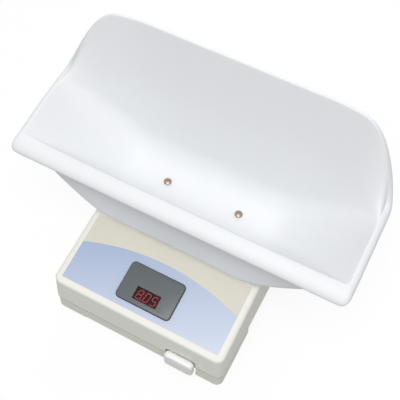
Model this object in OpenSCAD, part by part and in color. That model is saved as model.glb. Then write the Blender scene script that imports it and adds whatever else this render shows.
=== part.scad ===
// Digital scale for weighing babies: a moulded tray on a load cell, in a two-part housing with a
// sloping display panel. Millimetres, +Z up, +X to the right of someone who reads the display.
// Inside the modules, y is counted from the front top edge of the housing; at_origin() then puts
// the middle of the whole object over the origin, with the feet on z = 0.

/* [Housing] */
// Width of the upper housing across its top edges
housing_w = 290; // [270:1:320]
// Depth of the housing at its top edge
housing_d = 296; // [285:1:330]
// Height of the front top edge above the floor
front_h = 97; // [94:0.5:105]
// Height of the parting line between the two housings
parting_z = 38; // [35:0.5:41]
// Height of the dark gap at the parting line
parting_gap = 1.2; // [0.6:0.1:2]
// Outward lean of the housing walls, in degrees
wall_lean = 3.3; // [0:0.1:5]
// Wall thickness of both housings
wall_t = 3; // [2.4:0.1:3.6]
// Radius of the upright corners
corner_r = 13; // [10:0.5:18]
// Radius of the rounded top edge
edge_r = 5; // [4:0.5:7]
// Step by which the lower housing sits inside the upper one
lower_inset = 2; // [1:0.1:3]
// Clear height under the middle of the lower housing
belly_z = 8; // [7:0.5:10]
// Width of the foot blocks at the corners
foot_block_w = 50; // [40:1:56]
// Depth of the foot blocks at the corners
foot_block_d = 60; // [45:1:70]
// Radius of the lower housing's rounded bottom edge
foot_edge_r = 5; // [3:0.5:6]
// Length of the hand grip recess in each side
grip_l = 104; // [80:1:120]
// Depth of the hand grip recess
grip_depth = 14; // [10:0.5:16]
// Distance from the front to the hand grip recess
grip_y = 97; // [90:1:105]

/* [Panel] */
// Slope of the display panel, in degrees
panel_slope = 8.9; // [6:0.1:11]
// Depth of the sloping part of the top
panel_d = 125; // [120:1:128]
// Border between the housing edge and the label recess
label_border = 10.5; // [9:0.5:14]
// Thickness of the panel overlay and of the blue label
label_t = 0.5; // [0.4:0.05:0.8]
// Height of the blue label at its sides
label_side_h = 63; // [55:1:70]
// Rise of the arc at the back of the blue label
label_arc_rise = 24; // [16:1:28]
// Width of the display plate
display_w = 90.5; // [84:0.5:100]
// Depth of the display plate
display_d = 59; // [54:0.5:62]
// Distance from the housing's front edge to the display plate
display_y = 21.5; // [20:0.5:24]
// Corner radius of the display plate
display_r = 6; // [4:0.5:8]
// Thickness of the display plate
display_t = 1.6; // [1.2:0.1:2.4]
// Height of the dark display frame above the panel
frame_h = 2.6; // [2:0.1:4]
// Rim of the display frame that shows round the plate
frame_rim = 1.2; // [0.8:0.1:2]
// Width of the window in the display plate
window_w = 40.4; // [39.5:0.1:43]
// Depth of the window in the display plate
window_d = 20.6; // [20.2:0.1:22]
// Distance from the display plate's front edge to its window
window_y = 6.7; // [6:0.1:9]
// Thickness of the red window lens
lens_t = 1.2; // [1:0.1:1.5]
// Height of one digit
digit_h = 14.2; // [13:0.1:14.6]
// Distance from one digit to the next
digit_pitch = 12.2; // [11.5:0.1:12.6]
// Width of a digit's segment
segment_w = 1.5; // [1:0.1:1.8]

/* [Tray] */
// Length of the tray between the crests of its end rims
tray_l = 517.4; // [480:1:540]
// Distance from the housing's front edge to the crest of the tray's front rim
tray_front_y = 133.4; // [131:0.5:138]
// Depth of the tray between its front and back crests
tray_d = 177; // [170:1:185]
// Height of the front rim above the housing's front edge
rim_front_h = 139.6; // [130:1:150]
// Extra height of the end rims where the back corners begin
rim_end_rise = 12.4; // [5:0.5:20]
// Extra height of the back rim over the front rim
rim_back_rise = 122; // [105:1:130]
// Height of the tray's floor above the housing's front edge
tray_floor_h = 25; // [24.5:0.5:30]
// Slope of the tray's floor, in degrees
tray_floor_slope = 6; // [3:0.5:8]
// Wall thickness of the tray
tray_t = 3; // [2.5:0.1:3.4]
// Length of the tray's rounded back corners, along the tray
corner_len = 124.8; // [100:1:140]
// Depth of the tray's rounded back corners, across the tray
corner_dep = 51.6; // [45:1:60]
// Plan radius of the tray's front corners
front_corner_r = 7; // [6:0.5:12]
// Reach of the rolled front lip
lip_front = 27; // [20:0.5:30]
// Drop of the rolled front lip
lip_front_drop = 16; // [13:0.5:22]
// Reach and drop of the rolled rim at the ends
lip_end = 11; // [7.5:0.5:12]
// Reach and drop of the rolled rim at the back
lip_back = 7.6; // [7.2:0.1:10]
// Distance by which the front wall's foot stands forward of its crest
front_bulge = 13.5; // [8:0.5:15]
// Length of the sloping part of the floor at each end
end_ramp = 138.7; // [120:0.5:145]
// Inner radius where the front wall meets the floor
front_fillet_r = 16; // [12:1:20]
// Inner radius where the floor meets the back wall
knee_r = 55; // [45:1:60]
// Slope of the tray's back wall, in degrees
back_wall_slope = 77; // [75:0.5:79]
// Height of the two bosses under the tray's floor
boss_h = 4; // [3.5:0.5:5]

/* [Weighing] */
// Length of the load cell
cell_l = 130; // [125:1:136]
// Width of the load cell
cell_w = 30; // [26:1:34]
// Height of the load cell
cell_h = 22; // [20:0.5:26]
// Height of the load cell's underside above the floor
cell_z = 44; // [42:0.5:46]
// Distance from the housing's front edge to the load cell's middle
cell_y = 217; // [214:0.5:218]
// Length of the foot and the block that grip the cell's ends
cell_grip_l = 32; // [28:1:34]
// Height of the block between the load cell and the platform
lift_h = 10; // [8:0.5:12]
// Length of the platform plate
platform_l = 156; // [150:1:170]
// Width of the platform plate
platform_w = 62; // [54:1:66]
// Thickness of the platform plate
platform_t = 4; // [3:0.5:5]
// Distance between the two tray screws
post_pitch = 126; // [120:1:130]
// Radius of the tray posts
post_r = 8; // [7:0.5:9]
// Travel of the platform between no load and its overload stops
weigh_travel = 0.6; // [0.4:0.1:0.8]
// Thickness of the rubber pads between the posts and the tray
pad_t = 2; // [1.5:0.1:2.4]
// Shaft radius of the tray screws
tray_screw_r = 3; // [2.5:0.1:3.4]
// Shaft radius of the load cell's screws
cell_screw_r = 3; // [2.5:0.1:3.2]
// Distance from the load cell's end to its outer screw
cell_hole_end = 13; // [10:0.5:14]
// Distance between the two screws at one end of the load cell
cell_hole_pitch = 14; // [12:0.5:14]
// Radius of the overload bolts
stop_r = 2.5; // [2:0.1:3]

/* [Button] */
// Width of the power button
button_w = 50; // [44:1:52]
// Height of the power button
button_h = 39; // [34:0.5:41]
// Distance from the housing's right edge to the button's middle
button_side = 66; // [63:0.5:69]
// Height of the button's lower edge
button_z = 17; // [15:0.5:19]
// How far the button stands out of the housing
button_out = 11; // [8:0.5:13]
// Corner radius of the button's face
button_r = 8; // [5:0.5:10]
// Gap round the button
button_gap = 1.2; // [0.8:0.1:1.6]
// Travel of the button
button_travel = 2.5; // [1.5:0.1:3]
// Radius of the plunger behind the button
plunger_r = 2.5; // [2:0.1:2.8]
// Radius of the small dimple beside the button
pip_r = 2; // [1.5:0.1:2.5]
// Distance from the button's edge to the dimple
pip_from_button = 8; // [5:0.5:10]

/* [Battery bay] */
// Diameter of a battery
cell_d = 14.2; // [13.5:0.1:14.5]
// Length of a battery with its button
cell_len = 50; // [48:0.5:50.5]
// Rows of batteries, side by side
cell_rows = 3; // [2:1:3]
// Distance from the housing's front edge to the bay's middle
bay_y = 142; // [138:0.5:144]
// Wall thickness of the bay
bay_wall = 1.8; // [1.5:0.1:2.2]
// Thickness of the battery door
door_t = 1.8; // [1.5:0.1:2.2]
// Travel of the battery door before it drops off
door_travel = 10; // [8:0.5:12]

/* [Feet and fasteners] */
// Radius of the rubber feet
foot_r = 10; // [8:0.5:12]
// How far the rubber feet stand out of the foot blocks
foot_out = 1.5; // [1:0.1:2]
// Depth of the sockets that hold the rubber feet
foot_socket = 1.5; // [1:0.1:2]
// Shaft radius of the housing screws
screw_r = 2; // [1.6:0.1:2.2]
// Play of screws and pins in their holes
play = 0.1; // [0.05:0.01:0.15]

/* [Hidden] */

$fn = 48;
hull_fn = 32;
eps = 0.01;
far = 1000;
soft_gap = 0.3;                                    // gap beside rubber and sprung pieces

lean = tan(wall_lean);
slope = tan(panel_slope);
deck_z = front_h + slope * panel_d;                // level top behind the panel
crown_gap = 0.5;                                    // the button's crown stays this far inside its full reach
front_out = button_out - crown_gap + lean * (front_h - button_z - button_h / 2);
back_y = tray_front_y + tray_d + lip_back;
origin_y = (back_y - front_out) / 2;               // middle of the object's depth

module at_origin() translate([0, -origin_y, 0]) children();

// ---- housings -------------------------------------------------------------------------------

function half_w(z) = housing_w / 2 + lean * (front_h - z);
function front_y(z) = -lean * (front_h - z);
function rear_y(z) = housing_d + lean * (front_h - z);
function panel_z(y) = front_h + slope * y;

// a disc with a rounded upper edge; its top is at z = 0
module soft_disc(r, edge) {
    rotate_extrude($fn = hull_fn) intersection() {
        union() {
            translate([0, -edge]) square([r - edge, edge]);
            translate([r - edge, -edge]) circle(edge, $fn = hull_fn);
        }
        translate([0, -edge]) square([r, edge]);
    }
}

// the housing's outer form above base_z, shrunk on all sides by inset
module housing_form(inset, base_z) {
    r = corner_r - inset;
    edge = max(edge_r - inset, 1);
    seat = edge + inset;
    front_top = panel_z(seat) - seat / cos(panel_slope) + edge;
    knee_y = panel_d - inset * tan(panel_slope / 2) + r - edge;
    for_top = [[front_top, corner_r], [deck_z - inset, knee_y], [deck_z - inset, housing_d - corner_r]];
    hull() {
        for (side = [-1, 1], p = for_top)
            translate([side * (half_w(p[0]) - inset - r), p[1], p[0]]) soft_disc(r, edge);
        for (side = [-1, 1], y = [front_y(base_z) + inset + r, rear_y(base_z) - inset - r])
            translate([side * (half_w(base_z) - inset - r), y, base_z]) cylinder(r = r, h = 1, $fn = hull_fn);
    }
}

// the upright corners of the lower housing at height z, shrunk by inset
lower_r = corner_r - lower_inset;
module lower_corners(inset, z) {
    out = lower_inset + inset - lean * (front_h - z);
    for (side = [-1, 1], y = [out + lower_r, housing_d - out - lower_r])
        translate([side * (housing_w / 2 - out - lower_r), y, z]) children();
}

// the lower housing's form between two heights
module lower_form(inset, z0, z1) {
    hull() {
        lower_corners(inset, z1 - eps) cylinder(r = lower_r, h = eps, $fn = hull_fn);
        lower_corners(inset, z0) cylinder(r = lower_r, h = eps, $fn = hull_fn);
    }
}

// its outside, down to the underside of the foot blocks
module lower_outside() {
    hull() {
        lower_corners(0, lower_top - eps) cylinder(r = lower_r, h = eps, $fn = hull_fn);
        lower_corners(0, foot_block_z + foot_edge_r)
            mirror([0, 0, 1]) translate([0, 0, foot_edge_r]) soft_disc(lower_r, foot_edge_r);
    }
}

post_x = post_pitch / 2;
post_hole_r = post_r + 4;
housing_screw_x = housing_w / 2 - 22;
housing_screw_y = [24, housing_d - 24];
housing_boss_r = 5;
screw_head_r = 2 * screw_r;
screw_head_h = 1.2 * screw_r;
lower_top = parting_z - parting_gap / 2;
upper_low = parting_z + parting_gap / 2;
boss_foot_z = upper_low + 2;

module at_housing_screws() {
    for (x = [-1, 1] * housing_screw_x, y = housing_screw_y) translate([x, y, 0]) children();
}

module on_panel() translate([0, 0, front_h]) rotate([panel_slope, 0, 0]) children();

label_w = housing_w - 2 * label_border - 2;
label_front = label_border;
label_back = panel_d - 1;

// the sunk field in the panel that takes the labels
module label_field(grow = 0) {
    rounding = 2;
    translate([-label_w / 2 - grow, label_front - grow]) offset(rounding) offset(-rounding)
        square([label_w + 2 * grow, label_back - label_front + 2 * grow]);
}

window_mid_y = display_y + window_y + window_d / 2;
board_w = 76;
board_d = 44;
board_t = 1.6;
board_drop = 12;                                   // display board below the panel's face
led_w = window_w - 2.4;
led_d = window_d - 1.6;
panel_hole = [led_w + 4, led_d + 4];
display_boss_x = board_w / 2 - 5;
display_boss_y = [-1, 1] * (board_d / 2 - 5);

module at_display_screws() {
    for (x = [-1, 1] * display_boss_x, y = display_boss_y) translate([x, window_mid_y + y, 0]) children();
}

button_mid_z = button_z + button_h / 2;
button_hole_w = button_w + 2 * button_gap;
button_hole_top = button_z + button_h + button_gap;

module button_outline(grow) {
    w = button_w + 2 * grow;
    h = button_h + 2 * grow;
    r = button_r + grow;
    hull() for (x = [-1, 1] * (w / 2 - r), z = [-1, 1] * (h / 2 - r)) translate([x, z]) circle(r);
}

// a bar along y with the button's outline, from y0 to y1
module button_bar(grow, y0, y1) {
    translate([button_x, y1, button_mid_z]) rotate([90, 0, 0]) linear_extrude(y1 - y0) button_outline(grow);
}

module upper_housing() {
    boss_r = 4;
    color([0.90, 0.88, 0.81]) at_origin() difference() {
        union() {
            difference() {
                housing_form(0, upper_low);
                difference() {
                    housing_form(wall_t, upper_low - far / 100);
                    on_panel() at_display_screws()
                        translate([0, 0, -board_drop]) cylinder(r = boss_r, h = board_drop);
                    at_housing_screws() translate([0, 0, boss_foot_z]) cylinder(r = housing_boss_r, h = far / 5);
                    for (x = [-1, 1] * post_x)
                        translate([x, cell_y, deck_z - wall_t - 3]) cylinder(r = post_hole_r + 2, h = 6);
                }
            }
        }
        on_panel() translate([0, 0, -label_t]) linear_extrude(far / 50) label_field();
        on_panel() translate([0, window_mid_y, 0]) cube([panel_hole[0], panel_hole[1], 4 * wall_t], center = true);
        on_panel() at_display_screws() translate([0, 0, -board_drop - eps])
            cylinder(r = screw_r - 0.5, h = board_drop - wall_t);
        for (x = [-1, 1] * post_x) translate([x, cell_y, deck_z - 20]) cylinder(r = post_hole_r, h = 40);
        at_housing_screws() translate([0, 0, boss_foot_z - eps]) cylinder(r = screw_r + play / 2, h = 18);
        button_bar(button_gap, -far / 20, wall_t + 2);
        translate([button_x + button_w / 2 + pip_from_button, front_y(button_hole_top) + 0.8, button_hole_top])
            rotate([90, 0, 0]) cylinder(r = pip_r, h = far / 20);
    }
}

foot_block_z = foot_out;                            // underside of the foot blocks
foot_x = housing_w / 2 - 23;
foot_y = [25, housing_d - 25];
floor_top = belly_z + wall_t;
bay_l = 2 * cell_len + 8;
bay_w = cell_rows * cell_d + 2;
bay_top = floor_top + cell_d + 1.2;
hook_x = bay_l / 2 + bay_wall + 5;
hook_w = 3;
hook_l = 7;
hook_y = [-1, 1] * (bay_w / 2 - 8);
door_l = bay_l + 2 * (bay_wall + 10);
door_w = bay_w + 4;
inlet_x = -70;
inlet_z = 24;
inlet_r = 5.5;
pedestal_x = -cell_l / 2;
stop_x = platform_l / 2 - 8;
stop_y = platform_w / 2 - 8;
stop_boss_r = 6;
stop_boss_h = 20;
standoff_r = 3;
main_board_size = [100, 74, 1.6];
main_board_mid = [-50, 58];
standoff_h = 8;
board_hole = [main_board_size[0] / 2 - 5, main_board_size[1] / 2 - 5];

module at_board_holes() {
    for (x = [-1, 1] * board_hole[0], y = [-1, 1] * board_hole[1])
        translate([main_board_mid[0] + x, main_board_mid[1] + y, 0]) children();
}

module at_feet() for (x = [-1, 1] * foot_x, y = foot_y) translate([x, y, 0]) children();

module at_stops() {
    for (x = [-1, 1] * stop_x, y = [-1, 1] * stop_y) translate([x, cell_y + y, 0]) children();
}

// the hand grips in the sides, up to the height top
module grip_boxes(grow, top) {
    reach = 40;
    for (side = [-1, 1]) translate([side * (housing_w / 2 + reach / 2 - grip_depth - grow) - reach / 2, grip_y - grow, -1])
        cube([reach, grip_l + 2 * grow, top + 1]);
}

// a thin lip stands inside the upper housing and keeps dust and light out of the parting line
lip_top = upper_low + 3;
lip_inset = wall_t - lower_inset + soft_gap;

// the space under the belly, between the foot blocks
module belly_space() {
    between_x = housing_w - 2 * foot_block_w;
    between_y = housing_d - 2 * foot_block_d;
    translate([-between_x / 2, -far / 2, -far / 10]) cube([between_x, far, belly_z + far / 10]);
    translate([-far / 2, foot_block_d, -far / 10]) cube([far, between_y, belly_z + far / 10]);
}

module hook_slots() {
    slot_play = 0.5;
    for (side = [-1, 1], y = hook_y) translate([side * hook_x, bay_y + y, belly_z - 1]) {
        translate([-hook_w / 2 - slot_play, -hook_l / 2 - slot_play - door_travel, 0])
            cube([hook_w + 2 * slot_play, hook_l + door_travel + 2 * slot_play, wall_t + 2]);
        translate([-hook_w - slot_play, -hook_l / 2 - slot_play - door_travel, 0])
            cube([2 * hook_w + 2 * slot_play, hook_l + 2 * slot_play, wall_t + 2]);
    }
}

module lower_housing() {
    bay_out = [bay_l + 2 * bay_wall, bay_w + 2 * bay_wall, bay_top + bay_wall];
    pedestal = [cell_grip_l, cell_w + 6, cell_z - belly_z];
    color([0.80, 0.80, 0.73]) at_origin() difference() {
        union() {
            difference() {
                union() {
                    lower_outside();
                    lower_form(lip_inset, lower_top - wall_t / 2, lip_top);
                }
                difference() {
                    lower_form(wall_t, floor_top, lip_top + 1);
                    grip_boxes(wall_t, lower_top);
                }
                belly_space();
            }
            // walls of the battery bay
            translate([-bay_out[0] / 2, bay_y - bay_out[1] / 2, belly_z])
                cube([bay_out[0], bay_out[1], bay_out[2] - belly_z]);
            // foot that carries the load cell
            translate([pedestal_x, cell_y - pedestal[1] / 2, belly_z]) cube(pedestal);
            at_stops() translate([0, 0, belly_z]) cylinder(r = stop_boss_r, h = stop_boss_h);
            at_housing_screws() translate([0, 0, belly_z]) cylinder(r = housing_boss_r, h = boss_foot_z - belly_z);
        }
        grip_boxes(0, lower_top - wall_t);
        translate([-bay_l / 2, bay_y - bay_w / 2, 0]) cube([bay_l, bay_w, bay_top]);
        hook_slots();
        at_stops() translate([0, 0, floor_top]) cylinder(r = stop_r, h = far);
        at_cell_holes(-1) translate([0, 0, floor_top]) cylinder(r = cell_screw_r + play / 2, h = far);
        at_housing_screws() {
            cylinder(r = screw_r + 0.4, h = far);
            translate([0, 0, -eps]) cylinder(r = screw_head_r + 0.6, h = floor_top);
        }
        at_feet() translate([0, 0, foot_block_z - eps]) cylinder(r = foot_r + 0.2, h = foot_socket);
        // the button stands in a notch of the front wall, open downwards
        translate([button_x - button_hole_w / 2, -far / 20, -eps])
            cube([button_hole_w, far / 20 + button_back, button_hole_top]);
        translate([button_x - button_hole_w / 2, -far / 20, -far / 10])
            cube([button_hole_w, far / 20 + foot_block_d + 1, belly_z + far / 10]);
        translate([inlet_x, housing_d - 20, inlet_z]) rotate([-90, 0, 0]) cylinder(r = inlet_r, h = 40);
    }
}

// ---- display panel --------------------------------------------------------------------------

arc_half = label_w / 2;
arc_r = (arc_half * arc_half + label_arc_rise * label_arc_rise) / (2 * label_arc_rise);
arc_back = label_front + label_side_h + label_arc_rise;
label_join = 0.02;                                  // hairline between the overlay and the blue label

module label_arc(grow) {
    translate([0, arc_back - arc_r]) circle(arc_r + grow, $fn = 180);
}

module display_hole() translate([-panel_hole[0] / 2, window_mid_y - panel_hole[1] / 2]) square(panel_hole);

module panel_overlay() {
    color([0.89, 0.87, 0.80]) at_origin() on_panel() translate([0, 0, -label_t]) linear_extrude(label_t)
        difference() {
            label_field(-label_join);
            label_arc(label_join);
        }
}

module blue_label() {
    color([0.74, 0.79, 0.91]) at_origin() on_panel() translate([0, 0, -label_t]) linear_extrude(label_t)
        difference() {
            intersection() {
                label_field(-label_join);
                label_arc(0);
            }
            display_hole();
        }
}

module plate_outline(grow) {
    r = display_r + grow;
    translate([0, display_y + display_d / 2]) hull()
        for (x = [-1, 1] * (display_w / 2 + grow - r), y = [-1, 1] * (display_d / 2 + grow - r))
            translate([x, y]) circle(r);
}

module window_outline(grow) {
    translate([0, window_mid_y]) square([window_w + 2 * grow, window_d + 2 * grow], center = true);
}

lens_rim = 1.5;

module display_frame() {
    color([0.13, 0.14, 0.15]) at_origin() on_panel() difference() {
        linear_extrude(frame_h) plate_outline(frame_rim);
        translate([0, 0, -eps]) linear_extrude(frame_h + 1) window_outline(0.2);
        translate([0, 0, frame_h - lens_t]) linear_extrude(lens_t + 1) window_outline(lens_rim + 0.1);
    }
}

module display_plate() {
    color([0.50, 0.52, 0.52]) at_origin() on_panel() translate([0, 0, frame_h]) difference() {
        linear_extrude(display_t) plate_outline(0);
        translate([0, 0, -eps]) linear_extrude(display_t + 1) window_outline(0);
    }
}

module window_lens() {
    color([0.25, 0.05, 0.06, 0.8]) at_origin() on_panel() translate([0, 0, frame_h - lens_t])
        linear_extrude(lens_t) window_outline(lens_rim);
}

digit_t = 0.25;
led_top = -digit_t - 0.05;                          // the LED block ends just under the display frame

module led_block() {
    color([0.10, 0.08, 0.08]) at_origin() on_panel()
        translate([-led_w / 2, window_mid_y - led_d / 2, -board_drop]) cube([led_w, led_d, led_top + board_drop]);
}

digits = ["1111111", "1111110", "1011011"];         // segments a to g of 8, 0 and 5
digit_w = 0.5 * digit_h;
digit_lean = 8;

// one segment bar, lying along x, with pointed ends
module segment(l) {
    half = segment_w / 2;
    polygon([[-l / 2, 0], [half - l / 2, half], [l / 2 - half, half], [l / 2, 0], [l / 2 - half, -half],
        [half - l / 2, -half]]);
}

module digit(on) {
    gap = 0.35;
    bar = digit_w - gap;
    side = digit_h / 2 - gap;
    places = [[0, digit_h / 2, 0], [digit_w / 2, digit_h / 4, 90], [digit_w / 2, -digit_h / 4, 90],
        [0, -digit_h / 2, 0], [-digit_w / 2, -digit_h / 4, 90], [-digit_w / 2, digit_h / 4, 90], [0, 0, 0]];
    for (i = [0:6]) if (on[i] == "1")
        translate([places[i][0], places[i][1]]) rotate(places[i][2]) segment(places[i][2] == 0 ? bar : side);
}

module led_digits() {
    color([0.80, 0.20, 0.20]) at_origin() on_panel() translate([0, window_mid_y, led_top]) linear_extrude(digit_t)
        multmatrix([[1, tan(digit_lean), 0, 0], [0, 1, 0, 0], [0, 0, 1, 0], [0, 0, 0, 1]]) {
            for (i = [0:2]) translate([(i - 1) * digit_pitch, 0]) digit(digits[i]);
            translate([-digit_pitch / 2, -digit_h / 2]) circle(0.9);
        }
}

module display_board() {
    color([0.10, 0.38, 0.22]) at_origin() on_panel() difference() {
        translate([-board_w / 2, window_mid_y - board_d / 2, -board_drop - board_t])
            cube([board_w, board_d, board_t]);
        at_display_screws() translate([0, 0, -board_drop - 2 * board_t]) cylinder(r = screw_r - 0.3, h = far / 50);
    }
}

module display_screws() {
    color([0.75, 0.75, 0.78]) at_origin() on_panel() at_display_screws() {
        translate([0, 0, -board_drop - board_t - 1]) cylinder(r = screw_r - 0.55, h = 9);
        translate([0, 0, -board_drop - board_t - screw_head_h]) cylinder(r = screw_head_r - 1, h = screw_head_h);
    }
}

// ---- power button ---------------------------------------------------------------------------

button_x = housing_w / 2 - button_side;
button_face_y = front_y(button_mid_z) - button_out;
flange_t = 2.5;
flange_grow = 3;
flange_low = button_z + 1.5;
flange_top = button_z + button_h + flange_grow - 1.5;
// the flange rests behind the wall of whichever housing reaches further in
flange_y = wall_t + soft_gap + max(front_y(flange_top), lower_inset + front_y(upper_low + 3));
button_back = flange_y + flange_t + button_travel + 1;
stem_r = plunger_r + 0.9;
stem_end = flange_y + flange_t + 9;
switch_y = stem_end + button_travel + soft_gap;
switch_size = [13, 10, 13];
plunger_in = 3;                                     // how far the plunger sits in the switch at rest
bracket_t = 1.6;

// the button's pillow-shaped cap: soft all round its face
module button_cap() {
    crown = 3;
    hull() {
        for (x = [-1, 1] * (button_w / 2 - button_r), z = [-1, 1] * (button_h / 2 - button_r))
            translate([button_x + x, button_face_y + button_r - 1 + crown, button_mid_z + z])
                sphere(button_r, $fn = hull_fn);
        translate([button_x, button_face_y + crown, button_mid_z]) rotate([90, 0, 0])
            cylinder(r1 = button_h / 2 - 3, r2 = button_h / 2 - 6, h = crown - crown_gap, $fn = hull_fn);
        button_bar(0, flange_y - 1, flange_y);
    }
}

module power_button() {
    color([0.95, 0.94, 0.90]) at_origin() {
        button_cap();
        translate([button_x - button_w / 2 - flange_grow, flange_y - eps, flange_low])
            cube([button_w + 2 * flange_grow, flange_t + eps, flange_top - flange_low]);
        translate([button_x, flange_y, button_mid_z]) rotate([-90, 0, 0]) {
            cylinder(r = stem_r, h = stem_end - flange_y);
            cylinder(r = plunger_r, h = switch_y + plunger_in - flange_y);
        }
    }
}

spring_r = 5.6;
wire_r = 0.5;
spring_turns = 5;
spring_from = flange_y + flange_t + soft_gap + wire_r;
spring_to = switch_y - soft_gap - wire_r;

// unbroken round wire along a helix about the y axis
module coil(radius, wire, length, turns) {
    steps = 16;
    sides = 6;
    n = steps * turns;
    points = [for (i = [0:n]) let (a = 360 * i / steps, c = [radius * cos(a), length * i / n, radius * sin(a)],
        out = [cos(a), 0, sin(a)], up = [0, 1, 0])
        for (k = [0:sides - 1]) let (b = 360 * k / sides) c + wire * (cos(b) * out + sin(b) * up)];
    faces = concat([for (i = [0:n - 1], k = [0:sides - 1]) let (a = i * sides + k, b = i * sides + (k + 1) % sides)
        each [[a, a + sides, b + sides], [a, b + sides, b]]],
        [[for (k = [0:sides - 1]) k]], [[for (k = [sides - 1:-1:0]) n * sides + k]]);
    polyhedron(points, faces, convexity = 10);
}

module button_spring() {
    color([0.72, 0.73, 0.75]) at_origin() translate([button_x, spring_from, button_mid_z])
        coil(spring_r, wire_r, spring_to - spring_from, spring_turns);
}

module power_switch() {
    color([0.15, 0.15, 0.17]) at_origin() difference() {
        translate([button_x - switch_size[0] / 2, switch_y, button_mid_z - switch_size[2] / 2]) cube(switch_size);
        translate([button_x, switch_y - 1, button_mid_z]) rotate([-90, 0, 0])
            cylinder(r = plunger_r + 0.8 * play, h = plunger_in + button_travel + 2);
    }
}

module switch_bracket() {
    width = 34;
    foot = 14;
    color([0.70, 0.71, 0.73]) at_origin() {
        translate([button_x - width / 2, switch_y + switch_size[1], floor_top])
            cube([width, bracket_t, button_mid_z + switch_size[2] / 2 + 2 - floor_top]);
        translate([button_x - width / 2, switch_y + switch_size[1], floor_top]) cube([width, foot, bracket_t]);
    }
}

// ---- electronics ----------------------------------------------------------------------------

board_top = floor_top + standoff_h + main_board_size[2];

plug_h = 6;
cell_plug = [-26, 29];                              // from the main board's middle
display_plug = [14, 29];

module main_board() {
    color([0.10, 0.38, 0.22]) at_origin() difference() {
        translate([main_board_mid[0], main_board_mid[1], board_top - main_board_size[2] / 2])
            cube(main_board_size, center = true);
        at_board_holes() translate([0, 0, floor_top]) cylinder(r = screw_r - 0.3, h = far / 10);
    }
}

module board_chips() {
    chips = [[-20, 8, 18, 14, 2.2], [10, -12, 12, 10, 2], [26, 14, 9, 7, 2], [-6, -24, 8, 6, 1.8],
        [cell_plug[0], cell_plug[1], 10, 8, plug_h], [display_plug[0], display_plug[1], 10, 8, plug_h]];
    cans = [[34, -18, 5, 12], [-34, -20, 4, 10], [-40, 20, 4, 10]];
    color([0.12, 0.12, 0.13]) at_origin() translate([main_board_mid[0], main_board_mid[1], board_top]) {
        for (c = chips) translate([c[0] - c[2] / 2, c[1] - c[3] / 2, 0]) cube([c[2], c[3], c[4]]);
        for (c = cans) translate([c[0], c[1], 0]) cylinder(r = c[2], h = c[3]);
    }
}

module board_standoffs() {
    color([0.85, 0.80, 0.55]) at_origin() at_board_holes() translate([0, 0, floor_top]) difference() {
        cylinder(r = standoff_r, h = standoff_h);
        translate([0, 0, 1]) cylinder(r = screw_r - 0.5, h = standoff_h);
    }
}

module board_screws() {
    color([0.75, 0.75, 0.78]) at_origin() at_board_holes() {
        translate([0, 0, floor_top + 2]) cylinder(r = screw_r - 0.55, h = board_top - floor_top - 2 + eps);
        translate([0, 0, board_top]) cylinder(r = screw_head_r - 1, h = screw_head_h);
    }
}

// ---- load cell and platform -----------------------------------------------------------------

cell_top = cell_z + cell_h;
plate_z = cell_top + lift_h;
plate_top = plate_z + platform_t;
stub_r = post_r - 3;                                // the post's lower end, riveted into the plate

// the two screw places at one end of the load cell
module at_cell_holes(side) {
    for (d = [cell_hole_end, cell_hole_end + cell_hole_pitch]) translate([side * (cell_l / 2 - d), cell_y, 0]) children();
}

module load_cell() {
    gauge_r = 8;
    gauge_gap = 13;
    color([0.80, 0.81, 0.82]) at_origin() difference() {
        translate([-cell_l / 2, cell_y - cell_w / 2, cell_z]) cube([cell_l, cell_w, cell_h]);
        for (x = [-1, 1] * gauge_gap / 2) translate([x, cell_y - cell_w, cell_z + cell_h / 2]) rotate([-90, 0, 0])
            cylinder(r = gauge_r, h = 2 * cell_w);
        for (side = [-1, 1]) at_cell_holes(side) cylinder(r = cell_screw_r + play / 2, h = far);
    }
}

// a screw of length l under its head, pointing down from z = 0
module cap_screw(r, l) {
    translate([0, 0, -l]) cylinder(r = r, h = l + 0.2);
    difference() {
        cylinder(r = 1.7 * r, h = r);
        translate([0, 0, r / 2]) cylinder(r = 0.8 * r, h = r, $fn = 6);
    }
}

module cell_foot_screws() {
    bite = 20;
    color([0.35, 0.36, 0.38]) at_origin() at_cell_holes(-1)
        translate([0, 0, cell_top]) cap_screw(cell_screw_r - play / 2, bite + cell_h);
}

module cell_lift_block() {
    color([0.72, 0.73, 0.75]) at_origin() difference() {
        translate([cell_l / 2 - cell_grip_l, cell_y - cell_w / 2, cell_top]) cube([cell_grip_l, cell_w, lift_h]);
        at_cell_holes(1) cylinder(r = cell_screw_r + play / 2, h = far);
    }
}

module cell_lift_screws() {
    color([0.35, 0.36, 0.38]) at_origin() at_cell_holes(1)
        translate([0, 0, cell_z]) rotate([180, 0, 0]) cap_screw(cell_screw_r - play / 2, plate_top - cell_z);
}

module platform_plate() {
    flange_h = 8;
    color([0.74, 0.75, 0.77]) at_origin() difference() {
        union() {
            translate([-platform_l / 2, cell_y - platform_w / 2, plate_z]) cube([platform_l, platform_w, platform_t]);
            for (y = [cell_y - platform_w / 2, cell_y + platform_w / 2 - 2])
                translate([-platform_l / 2, y, plate_top - eps]) cube([platform_l, 2, flange_h]);
        }
        at_cell_holes(1) cylinder(r = cell_screw_r + play / 2, h = far);
        for (x = [-1, 1] * post_x) translate([x, cell_y, plate_z - 1]) cylinder(r = stub_r, h = platform_t + 2);
    }
}

module overload_stops() {
    head_h = 3;
    color([0.55, 0.56, 0.58]) at_origin() at_stops() {
        translate([0, 0, floor_top]) cylinder(r = stop_r - play / 2, h = plate_z - weigh_travel - 0.2 - floor_top);
        translate([0, 0, belly_z + stop_boss_h]) cylinder(r = stop_r + 2, h = head_h, $fn = 6);
    }
}

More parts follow.
